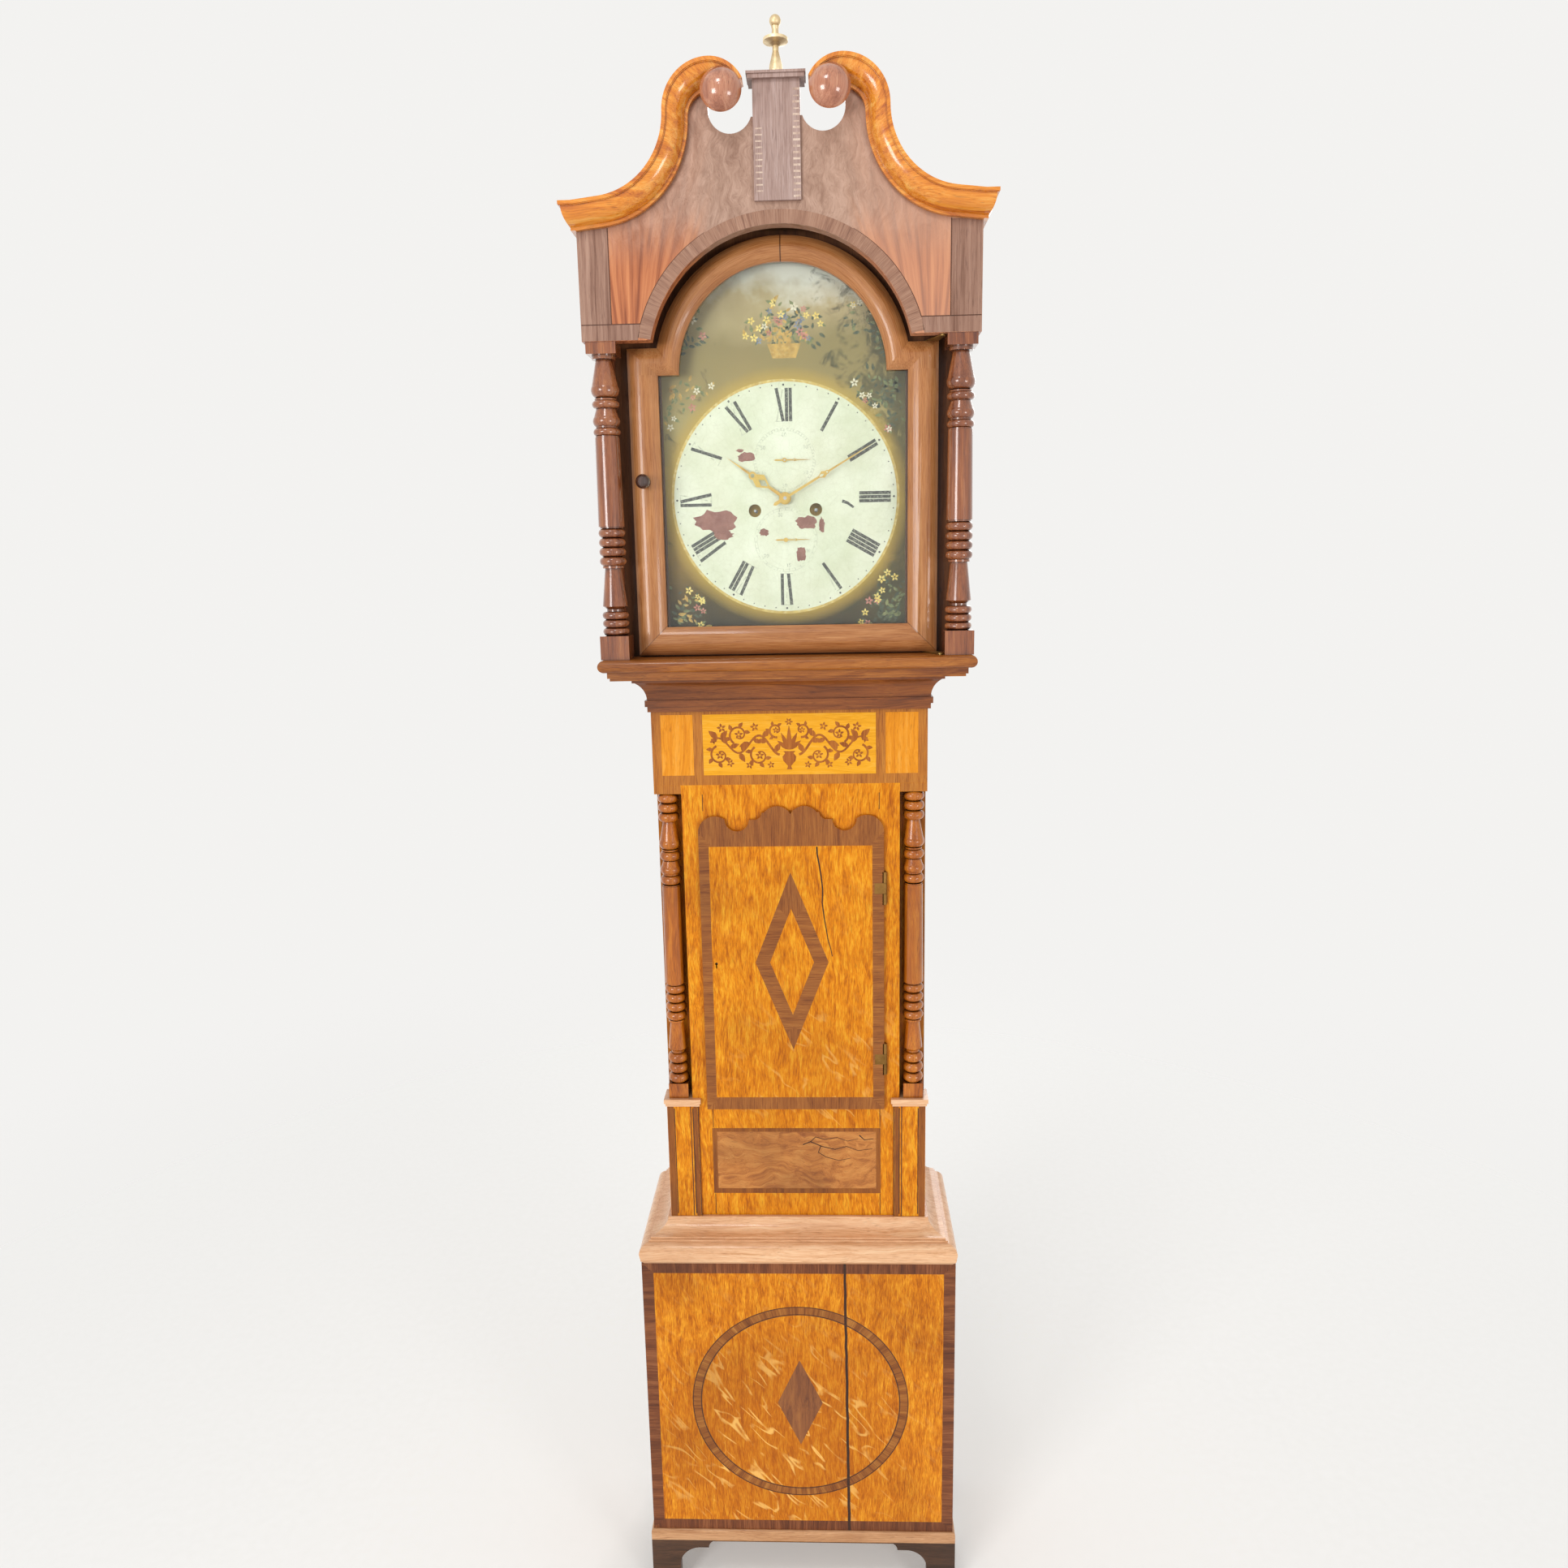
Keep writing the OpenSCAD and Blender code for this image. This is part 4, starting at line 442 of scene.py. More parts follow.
metal("cast brass, tarnished", "#c9a868", "#7d6338", 0.3, "hood_door_fittings")
metal("turned brass of the finial", "#e6d2ac", "#ab9269", 0.34, "finial")
metal("brass of the hinges, brown with age", "#8a6636", "#5d421f", 0.4,
      "hinge_plates trunk_door_fittings")
metal("gilt brass of the hands", "#d8b766", "#b08a45", 0.26,
      "minute_hand hour_hand seconds_hand date_hand")
metal("rolled brass of the plates", "#cfa95a", "#a47f3c", 0.28, "movement_plates pendulum")
metal("bell metal, turned", "#d2b277", "#9a7c4a", 0.22, "bell", axis=(-15, 1866))
metal("bright steel", STEEL, "#8b8a88", 0.3, "lock_bolt anchor hammer")
metal("cast iron, japanned", "#3a3734", "#5b4a3c", 0.5, "going_weight strike_weight")
print("woods and metals made:", len(bpy.data.materials))

# %% Wheels, each turned about its own arbor
AXES = {
    "centre_wheel": (0, 0), "hour_wheel": (0, 0), "minute_wheel": (0, -27), "escape_wheel": (0, 52),
    "going_great_wheel": (43, -16), "going_barrel": (43, -16), "strike_great_wheel": (-43, -16),
    "strike_barrel": (-43, -16),
}
for name in ("third_wheel", "pin_wheel", "pallet_wheel", "warning_wheel", "fly"):
    low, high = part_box(name)
    AXES[name] = ((low.x + high.x) * 500, (low.z + high.z) * 500 - DIAL_Z)
for name, (x, z) in AXES.items():
    metal("brass of the " + name.replace("_", " "), "#cfa95a", "#9c7838", 0.26, name,
          axis=(x, DIAL_Z + z), core=2.6)
print("wheels:", len(AXES))

# %% [markdown]
# Window glass lets lamps through, which a ray tracer does only slowly with real refraction.
# So the rays that carry the lamps' light pass a plain Transparent shader, and the rays that
# look see the glass itself, with slow waves as in old drawn sheets.

# %% Glass
glass, add, shader, place = finish("old window glass", "hood_door_glass")
wave = add("TexNoise", place, 14.0, 1.0)
smear = add("MapRange", wave, 0, 1, 0, 0.03)
tint = add("Mix RGBA", wave, "#f4fbf6", "#ffffff")
dress(add, shader, tint, smear, wave, 0.04, 0.001, Transmission_Weight=1.0, IOR=1.45)
thin(add, shader, add("LightPath").node.outputs["Is Shadow Ray"])
print("glass:", glass.name)

# %% [markdown]
# The dial is a sheet of iron painted white, baked, and then painted by hand in oils in its
# corners and its arch. The white is a little green with age and crazed. The ground goes
# from dark olive at the bottom to a pale sky, with dark foliage that is dense on the right,
# and a soft gold halo parts it from the white. The glass adds a pale veil of reflected
# light, so the colours here are deeper than they look.

# %% Painted dial
dial_white, add, shader, place = finish("painted iron dial", "dial_plate")
across, _, up = add("SeparateXYZ", place).node.outputs
away = from_axis(add, place, 0, DIAL_Z)
cloud = add("TexNoise", place, 16.0, 5.0, 0.6)
white = stops(add("ValToRGB", cloud), (0.3, "#c8ccb0"), (0.5, "#d3d6bf"), (0.7, "#dcdfcb"))
craze = add("TexVoronoi DISTANCE_TO_EDGE", place, 130.0)
hair = add("MapRange", craze, 0, 0.05, 0.22, 0)
white = add("Mix RGBA", hair, white, "#a9a787")
rise = add("MapRange", up, 1.569, 2.06)
shift = add("Math MULTIPLY_ADD", cloud, 0.22, rise)
ground = stops(add("ValToRGB", shift), (0.1, "#28210c"), (0.18, "#433617"), (0.34, "#7c6122"),
               (0.52, "#8a783f"), (0.7, "#978958"), (0.8, "#8b7b4b"), (0.9, "#85764a"),
               (1.0, "#a4936b"))
sky = add("MapRange", shift, 1.0, 1.07)
ground = add("Mix RGBA", sky, ground, "#cdcbbd")
side = add("Math ABSOLUTE", across)
leafage = add("TexNoise", place, 34.0, 7.0, 0.68, 2.0, 0.6)
reach = add("MapRange", side, 0.02, 0.17, -0.14, 0.045)
dense = add("Math MULTIPLY_ADD", across, 0.7, add("Math ADD", leafage, reach))
mask = add("MapRange", dense, 0.5, 0.6, 0, 0.75)
green = stops(add("ValToRGB", leafage), (0.42, "#4f4c2c"), (0.55, "#33331a"), (0.7, "#242616"))
ground = add("Mix RGBA", mask, ground, green)
halo = add("MapRange", away, 0.158, 0.178, 0.85, 0)
ground = add("Mix RGBA", halo, ground, "#b0913c")
inside = add("MapRange", away, 0.1574, 0.158, 1, 0)
colour = add("Mix RGBA", inside, ground, white)
dull = add("MapRange", cloud, 0, 1, 0.3, 0.5)
height = add("Math SUBTRACT", leafage, hair)
dress(add, shader, colour, dull, height, 0.12, 0.0003, Specular_IOR_Level=0.3)
print("dial:", dial_white.name)

# %% Coats of paint
def paint(name, shades, on="", gaps=0.0, rough=0.45, scale=120.0):
    """A coat of old paint in two near tones, worn through in places to a third, its ground."""
    code, other, ground = (shades + " #e6e9d3").split()[:3]
    material, add, shader, place = finish(name, on)
    cloud = add("TexNoise", place, scale, 5.0, 0.65)
    tone = add("MapRange", cloud, 0.38, 0.62)
    colour = add("Mix RGBA", tone, code, other)
    loss = add("TexNoise", place, scale * 1.7, 3.0)
    bare = add("MapRange", loss, 0.52, 0.62, 0, gaps)
    colour = add("Mix RGBA", bare, colour, ground)
    dull = add("MapRange", cloud, 0, 1, rough - 0.1, rough + 0.1)
    dress(add, shader, colour, dull, cloud, 0.2, 0.0002)
    return material


paint("catgut line", "#b89a62 #8f7442", "going_line strike_line", scale=400.0, rough=0.5)
print("finishes made:", len(bpy.data.materials))

# %% [markdown]
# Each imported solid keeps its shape. Sharp boards get a small bevel as a modifier, about
# 0.6 mm, because no real edge is knife sharp and a worn edge catches the light.

# %% Worn edges
BOARDS = (
    "trunk_front trunk_sides trunk_pilasters base_sides base_front bracket_feet trunk_door "
    "hood_sides tympanum centre_plinth hood_base_moulding base_skirting base_cap_moulding "
    "throat_moulding swan_necks")
for name in BOARDS.split():
    bevel = nodes[name].modifiers.new("worn edges", "BEVEL")
    bevel.width = 0.0006
    bevel.segments = 2
    bevel.limit_method = "ANGLE"
    bevel.angle_limit = math.radians(40)
print("solids with a finish:", len(covered), "of", len(nodes))

# %% [markdown]
# A weight hangs in a loop of gut line, whose runs above it shorten as it is wound up. Here
# each line only gets a mesh of its own, and its length and top are printed.

# %% Each weight's line gets a mesh of its own
for train in ("going", "strike"):
    low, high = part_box(train + "_line")
    length = high.z - low.z
    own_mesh(nodes[train + "_line"])
    print(train, "line: length", round(length, 3), "top", round(high.z, 3))

# %% [markdown]
# Veneers, inlay, figures and cracks are thin and flat, so each is drawn in the front view
# as a few faces and given a small thickness. The faces share their corners and get walls
# only along edges that one face uses, so every piece is a closed solid and no face hides
# inside it. Each is sunk a little into the board that carries it.

# %% Drawing in the front view
def show(name, data):
    """A new object of the scene."""
    thing = bpy.data.objects.new(name, data)
    bpy.context.scene.collection.objects.link(thing)
    return thing


def flat_piece(name, faces, front, back, body, material, loose=False):
    """A thin solid between two depths, from faces given as lists of (x, z) in millimetres.

    Loose faces may lie over one another, so each becomes a solid of its own height."""
    mesh = bpy.data.meshes.new(name)
    bm = bmesh.new()
    corners, rim = {}, {}
    for i, face in enumerate(faces):
        ring, lift = [], 0.004 * (i % 6) if loose else 0
        for x, z in face:
            key = (round(x, 2), round(z, 2), i if loose else 0)
            if key not in corners:
                corners[key] = (bm.verts.new(at(x, front - lift, z)), bm.verts.new(at(x, back, z)))
            if not ring or ring[-1] != key:
                ring.append(key)
        bm.faces.new([corners[key][0] for key in ring])
        bm.faces.new([corners[key][1] for key in reversed(ring)])
        for pair in zip(ring, ring[1:] + ring[:1]):
            if pair[::-1] in rim:
                del rim[pair[::-1]]
            else:
                rim[pair] = True
    for a, b in rim:
        bm.faces.new((corners[b][0], corners[a][0], corners[a][1], corners[b][1]))
    bmesh.ops.recalc_face_normals(bm, faces=bm.faces[:])
    bm.to_mesh(mesh)
    bm.free()
    mesh.materials.append(material)
    piece = show(name, mesh)
    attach(piece, body)


def on_dial(name, faces, lift, material, loose=False):
    """A coat of paint on the dial, so many millimetres thick."""
    flat_piece(name, faces, FACE - lift, FACE + 0.05, "case", material, loose)


def on_trunk(name, faces, lift, sink, material, loose=False):
    """A veneer or a line on the front of the trunk."""
    flat_piece(name, faces, -lift, sink, "case", material, loose)


def on_hood(name, faces, lift, material, surface=HOOD, sink=0.1):
    """A veneer or a line on the front of the hood."""
    flat_piece(name, faces, surface - lift, surface + sink, "hood", material)


def oblong(x0, x1, z0, z1):
    """One upright rectangle."""
    return [[(x0, z0), (x1, z0), (x1, z1), (x0, z1)]]


def way(turn):
    """The cosine and sine of an angle in degrees."""
    return math.cos(math.radians(turn)), math.sin(math.radians(turn))


def arc(x, z, r, start, stop, steps):
    """Points round a centre, with angles in degrees counted from the right."""
    ways = [way(start + (stop - start) * i / steps) for i in range(steps + 1)]
    return [(x + r * c, z + r * s) for c, s in ways]


def strip(one, other):
    """The faces between two rows of points."""
    return [(one[i], one[i + 1], other[i + 1], other[i]) for i in range(len(one) - 1)]


def ring_of(z, r, width, steps):
    """A flat ring round a point of the middle line."""
    return strip(arc(0, z, r, 360, 0, steps), arc(0, z, r + width, 360, 0, steps))


def line(points, width, end=None):
    """The faces of a drawn line, which may grow thinner towards its end."""
    end = width if end is None else end
    left, right = [], []
    for i, (x, z) in enumerate(points):
        a, b = points[max(i - 1, 0)], points[min(i + 1, len(points) - 1)]
        dx, dz = b[0] - a[0], b[1] - a[1]
        k = 0.5 * (width + (end - width) * i / (len(points) - 1)) / math.hypot(dx, dz)
        left.append((x - dz * k, z + dx * k))
        right.append((x + dz * k, z - dx * k))
    return strip(right, left)


def leaf(x, z, turn, length, width):
    """A pointed leaf as one face, from its stalk to its tip."""
    c, s = way(turn)
    shape = [(0, 0), (0.2, -0.36), (0.45, -0.5), (0.75, -0.3), (1, 0), (0.75, 0.3), (0.45, 0.5),
             (0.2, 0.36)]
    return [[(x + length * u * c - width * v * s, z + length * u * s + width * v * c)
             for u, v in shape]]


def blossom(x, z, size, petals, turn=0.0):
    """A round flower of equal petals with a gap at its middle."""
    faces = []
    for k in range(petals):
        a = turn + 360 * k / petals
        c, s = way(a)
        faces += leaf(x + 0.15 * size * c, z + 0.15 * size * s, a, 0.85 * size, 2.6 * size / petals)
    return faces


def mirrored(faces):
    """The same faces on the other side of the middle."""
    return [[(-x, z) for x, z in reversed(face)] for face in faces]


def refinish(name, test, material):
    """Gives the faces of a solid that pass a test another finish."""
    mesh = nodes[name].data
    mesh.materials.append(material)
    chosen = [face for face in mesh.polygons if test(face.center)]
    for face in chosen:
        face.material_index = len(mesh.materials) - 1
    return len(chosen)


print("drawing helpers ready")

# %% [markdown]
# The trunk's frieze has a light yellow panel in the middle and an orange one at each side,
# framed by crossbanding. The middle one carries marquetry, a picture sawn from darker
# veneer and let in: a running scroll with leaves and small flowers on both sides of an urn.

# %% Frieze panels and marquetry
satin = wood("satinwood veneer", "#e2981a #f7ad1f #fcc04a #a8641a", lay=level_grain, bands=0.4,
             pores=0.1, rough=(0.25, 0.4), coat=0.1, shine=0.2, age=0.2)
satin_side = wood("oak veneer of the frieze's ends", "#d57c12 #f19a1f #fbb34a #8e4c12", bend=0.03,
                  rough=(0.28, 0.42), coat=0.1, shine=0.2, age=0.3)
walnut = wood("walnut of the marquetry", "#87440f #a85c18 #c07526 #3d1a08", pores=0.2,
              rough=(0.3, 0.45), coat=0.1, age=0.2)
PANEL, MIDDLE_Z = (1359.5, 1449), 1404
on_trunk("frieze_panel", oblong(-125.5, 125.5, *PANEL), 0.25, 0.2, satin)
for side, ends in (("left", (-186.5, -139.5)), ("right", (139.5, 186.5))):
    on_trunk("frieze_end_" + side, oblong(*ends, *PANEL), 0.25, 0.2, satin_side)

stem = [(14 + 90 * i / 40, MIDDLE_Z - 15 * math.cos(3 * math.pi * i / 40) * (1 - i / 130))
        for i in range(41)]
vines, leaves = line(stem, 3.6, 2.4), []
for x, z, start, turn in ((43, -16, 60, -1), (73, 15, -60, 1), (101, -15, 70, -1), (19, 21, -100, 1)):
    spiral, size = [], 0.75 if x < 20 else 1
    for i in range(25):
        (c, s), r = way(start + turn * 15 * i), size * (14.5 - 9.5 * i / 24)
        spiral.append((x + r * c, MIDDLE_Z + z + r * s))
        if i in (2, 6, 10, 14):
            leaves += leaf(*spiral[-1], start + turn * 15 * i + 40 * turn, 9.5 * size, 6 * size)
    vines += line(spiral, 3.2, 1.8)
    leaves += blossom(x, MIDDLE_Z + z, 6.6 * size, 5, 18)
for i, turn, length in ((3, 120, 12), (8, 10, 11), (11, 140, 12), (17, -150, 10), (19, -20, 13),
                        (24, 100, 10), (26, -120, 12), (32, 160, 11), (34, 60, 13), (38, 130, 12),
                        (40, 40, 13), (40, -30, 10)):
    leaves += leaf(*stem[i], turn, length * 1.3, length * 0.7)
for x, z, size in ((58, -30, 6), (86, -27, 6), (50, 26, 6.5), (98, 25, 7), (27, -30, 5.5), (110, 6, 5)):
    leaves += blossom(x, MIDDLE_Z + z, size, 5, 3 * x)
urn = [[(-4, 1367), (4, 1367), (2.2, 1372), (9, 1380), (10, 1386), (6, 1391), (9, 1394), (-9, 1394),
        (-6, 1391), (-10, 1386), (-9, 1380), (-2.2, 1372)]]
crown = blossom(0, 1437, 6, 6)
for turn, length in ((90, 36), (65, 28), (115, 28), (38, 22), (142, 22)):
    crown += leaf(0, 1396, turn, length, 7)
on_trunk("marquetry", vines + mirrored(vines) + urn, 0.35, -0.2, walnut)
on_trunk("marquetry_leaves", leaves + mirrored(leaves) + crown, 0.37, -0.2, walnut,
         loose=True)
print("marquetry faces:", 2 * len(vines) + 2 * len(leaves) + len(crown) + 1)

# %% [markdown]
# Between the trunk door and the base lies a panel of figured mahogany with a dark edge,
# split by age at the right. The frame's joints beside it and the strips in the pilaster
# blocks show as fine lines.

# %% Lower panel, joints and strips
ebony = wood("blackened veneer", "#35190b #4d2712 #5f341b #1a0b05", bend=0.01, rough=(0.35, 0.5),
             coat=0.3, age=0.3)
gap = paint("dust and shadow in an open joint", "#2a1408 #3c1f0e", rough=0.8, scale=300.0)
edge = wood("dark edge of the lower panel", "#6f370e #955318 #ab6822 #33170a", bend=0.01, age=0.5,
            **BAND)
refinish("trunk_inlays", lambda c: c.z < 0.81, burr)
frame_edge = strip([(-131, 688), (131, 688), (131, 799), (-131, 799), (-131, 688)],
                   [(-124, 696), (124, 696), (124, 793), (-124, 793), (-124, 696)])
on_trunk("lower_panel_edge", frame_edge, 0.2, 0.1, edge)
splits = line([(10, 771), (22, 776), (40, 768), (60, 763), (78, 768), (96, 761), (118, 764)], 1.8, 0.7)
splits += line([(38, 769), (34, 758), (46, 750), (66, 744), (84, 748)], 1.5, 0.6)
splits += line([(22, 776), (30, 784), (44, 780), (64, 783), (80, 777), (96, 781)], 1.3, 0.6)
splits += line([(98, 787), (106, 779), (120, 781)], 1.8, 0.8)
on_trunk("lower_panel_splits", splits, 0.1, 0.1, gap)
joints = []
for x in (-129, 130):
    for low, high in ((652, 687), (800, 833), (1306, 1331)):
        joints += oblong(x - 0.5, x + 0.5, low, high)
on_trunk("frame_joints", joints, 0.08, 0.1, gap)
TALL = (650.5, 837.5)
lines = oblong(151, 152.4, *TALL) + oblong(162.6, 164, *TALL)
for x in (159, 188):
    lines += oblong(x + 0.1, x + 1.4, 655, 833)
edges = oblong(153, 158.9, *TALL) + oblong(190, 199.6, *TALL)
on_trunk("pilaster_lines", lines + mirrored(lines), 0.12 - BLOCK, -1.9, ebony)
on_trunk("pilaster_edges", edges + mirrored(edges), 0.2 - BLOCK, -2.9, edge)
lips = oblong(160.6, 199.7, 1332.3, 1344.8)
on_trunk("block_lips", lips + mirrored(lips), 0.2, 0.1, band_frieze)
refinish("trunk_inlays", lambda c: 1.331 < c.z < 1.3363, oak_upright)
# The caps of the pilasters take the same pale mahogany: a painted highlight of the light on them.
refinish("trunk_pilasters", lambda c: c.z > 0.8379, pale_lit_mahogany)
print("lower panel ready")

# %% [markdown]
# Oak shrinks across its width, so wide panels crack along the grain: the base from top to
# bottom, and the door finely, down from its top.

# %% Cracks
chance = random.Random(7)
rows = [103 + 488 * i / 30 for i in range(31)]
base_crack = [(77 - 4 * i / 30 + chance.uniform(-0.5, 0.5), z) for i, z in enumerate(rows)]
flat_piece("base_crack", line(base_crack, 4.6, 3.8), BASE - 0.12, BASE + 0.4, "case", gap)
door_crack = [(38, 1252), (38.5, 1240), (41, 1226), (44, 1206), (46, 1186), (45, 1166), (48, 1140),
              (51, 1122), (53, 1108), (57, 1094), (59, 1082)]
flat_piece("door_crack", line(door_crack, 2.4, 1.1), DOOR - 0.1, DOOR + 0.2, "trunk_door", gap)
print("cracks ready")

# %% [markdown]
# The circle in the base is crossbanded with its grain pointing outwards, and the lozenge in
# it is plain mahogany. Both belong to one solid with the border, so their faces are picked
# out by place. The knob of the hood's door is dark turned wood, while the pivots on the
# other side are brass. The ends of the hood's frieze box are plain, as its sides are.

# %% Parts of solids with their own finish
lozenge_wood = wood("mahogany lozenge", "#6d3a1b #8d5226 #a5672f #3a1a0b", bend=0.03, bands=0.6,
                    rough=(0.3, 0.45), coat=0.4, age=0.3)


def from_circle(point):
    """The distance of a point from the middle of the base's circle, in metres."""
    return math.hypot(point.x, point.z - CIRCLE_Z * MM)


changed = [
    refinish("base_inlay", lambda c: 0.15 < from_circle(c) < 0.18, band_ring),
    refinish("base_inlay", lambda c: from_circle(c) < 0.09, lozenge_wood),
    refinish("hood_door_fittings", lambda c: c.x < 0, knob_wood),
    refinish("tympanum", lambda c: abs(c.x) > 0.2608, mahogany_side),
]
ring_lines = ring_of(CIRCLE_Z, 158.2, 1.3, 120) + ring_of(CIRCLE_Z, 171.4, 1.3, 120)
flat_piece("ring_lines", ring_lines, BASE - 0.22, BASE + 0.1, "case", ebony)
print("refinished faces:", *changed)

# %% [markdown]
# The front of the hood is veneered in several woods. Bands of cross grain follow the arch,
# the foot and the two ends. The corners hold flame mahogany, cut where a branch leaves the
# trunk, so that its grain opens like a fan. Fine dark lines divide them, and the plinth in
# the middle has two ladders of small light dashes.

# %% Veneers of the hood's front
OPENING_R, BAND_R, BAND_Z, HOOD_END = 175, 192, 1973, 261.8
foot_x = math.sqrt(OPENING_R ** 2 - 37.5 ** 2) + 0.5
foot_turn = math.degrees(math.asin(37.5 / OPENING_R)) + 0.2
inner = arc(0, ARCH_Z, OPENING_R + 0.3, foot_turn, 180 - foot_turn, 72)
outer = arc(0, ARCH_Z, BAND_R, foot_turn - 0.3, 180.3 - foot_turn, 72)
on_hood("arch_band", strip(inner, outer), 0.2, band_arch)
split_x = math.sqrt(BAND_R ** 2 - 57.5 ** 2)
end_band = oblong(222, HOOD_END, BAND_Z + 1, 2090)
foot_band = [[(foot_x + 16, 1953.4), (HOOD_END, 1953.4), (HOOD_END, BAND_Z), (split_x + 0.5, BAND_Z)]]
thread = line([(221.5, BAND_Z + 1), (221.5, 2091)], 1.2)
thread += line([(split_x, BAND_Z + 0.3), (261.5, BAND_Z + 0.3)], 1.2)
thread += line(arc(0, ARCH_Z, BAND_R + 0.4, 17.6, 60, 24), 1.0, 0.3)
for side, turned in (("left", mirrored), ("right", list)):
    on_hood("end_band_" + side, turned(end_band), 0.2, band_edge)
    on_hood("foot_band_" + side, turned(foot_band), 0.2, band_edge)
    on_hood("thread_" + side, turned(thread), 0.26, ebony, sink=-0.1)
holly = paint("holly stringing", "#e2cbb8 #c9ab98 #a98c80", gaps=0.5, rough=0.5)
dashes = []
for i in range(18):
    z = 2120 + 7.3 * i
    dashes += oblong(20.5, 29.5, z, z + 2.6) if z < 2200 or i % 2 else oblong(21.5, 28.5, z, z + 1.6)
    if 2126 < z < 2205:
        dashes += oblong(-27.5, -18.5, z, z + 1.8)
on_hood("plinth_ladders", dashes, 0.12, holly, surface=PLINTH)
print("veneers of the hood ready")

# %% [markdown]
# The dial's figures are painted in black, in thick strokes and thin ones, with their feet
# towards the centre. Much of the thin work and of the small circles has worn off, so their
# ink is paler and broken. Four is written with four strokes, as on most clocks.

# %% Hour figures
ink = paint("black figure paint", "#30312d #484943 #c9ccb6", gaps=0.25, rough=0.4, scale=220.0)
thin_ink = paint("worn ink of the thin strokes", "#a3a78f #c2c6ae", gaps=0.7, scale=160.0)
faint_ink = paint("worn ink of the small circles", "#8f9580 #b3b8a0", gaps=0.5, scale=160.0)
ADVANCE = {"I": 5.4, "V": 12.5, "X": 13.5}
HOURS = ("I", "II", "III", "IIII", "V", "VI", "VII", "VIII", "IX", "X", "XI", "XII")
FIGURE_LOW, FIGURE_TOP = 104, 148


def clock_point(u, r, turn):
    """A point r out from the dial's centre at a clock angle, u across to the right."""
    c, s = way(turn)
    return u * c + r * s, DIAL_Z - u * s + r * c


def stroke(top, low, turn, width):
    """A stroke of a figure, from its place at the top of the ring to its place at the foot."""
    return line([clock_point(top, FIGURE_TOP, turn), clock_point(low, FIGURE_LOW, turn)], width)


thick, thin_strokes = [], []
for hour, text in enumerate(HOURS, 1):
    width = sum(ADVANCE[letter] for letter in text)
    u = -width / 2
    for letter in text:
        wide = ADVANCE[letter]
        low, high, half = u + 2.2, u + wide - 2.2, u + wide / 2
        heavy = {"I": (half, half), "V": (low, half), "X": (low, high)}[letter]
        light = {"V": (high, half), "X": (high, low)}.get(letter)
        thick += stroke(*heavy, hour * 30, 4.4)
        if light:
            thin_strokes += stroke(*light, hour * 30, 1.3)
        u += wide
    for r in (FIGURE_LOW, FIGURE_TOP):
        serif = [clock_point(-width / 2, r, hour * 30), clock_point(width / 2, r, hour * 30)]
        thin_strokes += line(serif, 0.8)
on_dial("hour_figures", thick, 0.12, ink)
on_dial("hour_figures_thin", thin_strokes, 0.08, thin_ink)
print("hour figures:", len(thick), "strokes")

# %% Minute dots and gold ring
dots, fives = [], []
for minute in range(60):
    x, z = clock_point(0, 152.5, minute * 6)
    (dots if minute % 5 else fives).append(arc(x, z, 0.9 if minute % 5 else 1.5, 0, 330, 11))
on_dial("minute_dots", dots, 0.1, ink)
on_dial("five_minute_dots", fives, 0.12, ink)
gold_paint = paint("gold paint of the dial's ring", "#cbb262 #b2954a #dcd7ae", gaps=0.35, rough=0.4)
on_dial("gold_ring", ring_of(DIAL_Z, 156.6, 3.6, 180), 0.1, gold_paint)
print("dots:", len(dots) + len(fives))

# %% [markdown]
# The seconds circle above the centre has sixty ticks and the date circle below it
# thirty-one. Each of their small digits is one bent line in a box 1 wide and 1.6 high,
# about 5 mm tall on the real dial.

# %% Small circles
DIGITS = {
    "0": [(0.5, 1.6), (0.1, 1.1), (0.1, 0.5), (0.5, 0), (0.9, 0.5), (0.9, 1.1), (0.52, 1.6)],
    "1": [(0.25, 1.3), (0.55, 1.6), (0.55, 0)],
    "2": [(0.1, 1.2), (0.3, 1.6), (0.75, 1.55), (0.85, 1.1), (0.1, 0), (0.95, 0)],
    "3": [(0.1, 1.5), (0.6, 1.6), (0.85, 1.2), (0.45, 0.85), (0.9, 0.45), (0.6, 0), (0.1, 0.1)],
    "4": [(0.95, 0.5), (0.05, 0.5), (0.7, 1.6), (0.72, 0)],
    "5": [(0.85, 1.6), (0.2, 1.6), (0.15, 0.9), (0.6, 1.0), (0.9, 0.55), (0.6, 0), (0.1, 0.1)],
    "6": [(0.8, 1.6), (0.3, 1.1), (0.1, 0.5), (0.5, 0), (0.9, 0.4), (0.6, 0.85), (0.15, 0.6)],
}


def small_circle(name, height, radius, count, every):
    """Two fine rings, their ticks, and a figure at every so many of them."""
    middle = DIAL_Z + height
    faces = ring_of(middle, radius, 0.5, 90) + ring_of(middle, radius - 3.4, 0.4, 90)
    marks = []
    for i in range(1, count + 1):
        c, s = way(360 * i / count)
        inside, outside = radius - (4.6 if i % every == 0 else 3.0), radius - 0.2
        marks += line([(outside * s, middle + outside * c), (inside * s, middle + inside * c)], 0.6)
        if i % every == 0:
            for k, digit in enumerate(str(i)):
                shift = (k - len(str(i)) / 2) * 3.6
                x0, z0 = (radius - 8.6) * s + shift, middle + (radius - 8.6) * c - 2.4
                marks += line([(x0 + 3.0 * u, z0 + 3.0 * v) for u, v in DIGITS[digit]], 0.8)
    on_dial(name + "_rings", faces, 0.05, thin_ink)
    on_dial(name + "_figures", marks, 0.07, faint_ink)
    return len(marks)


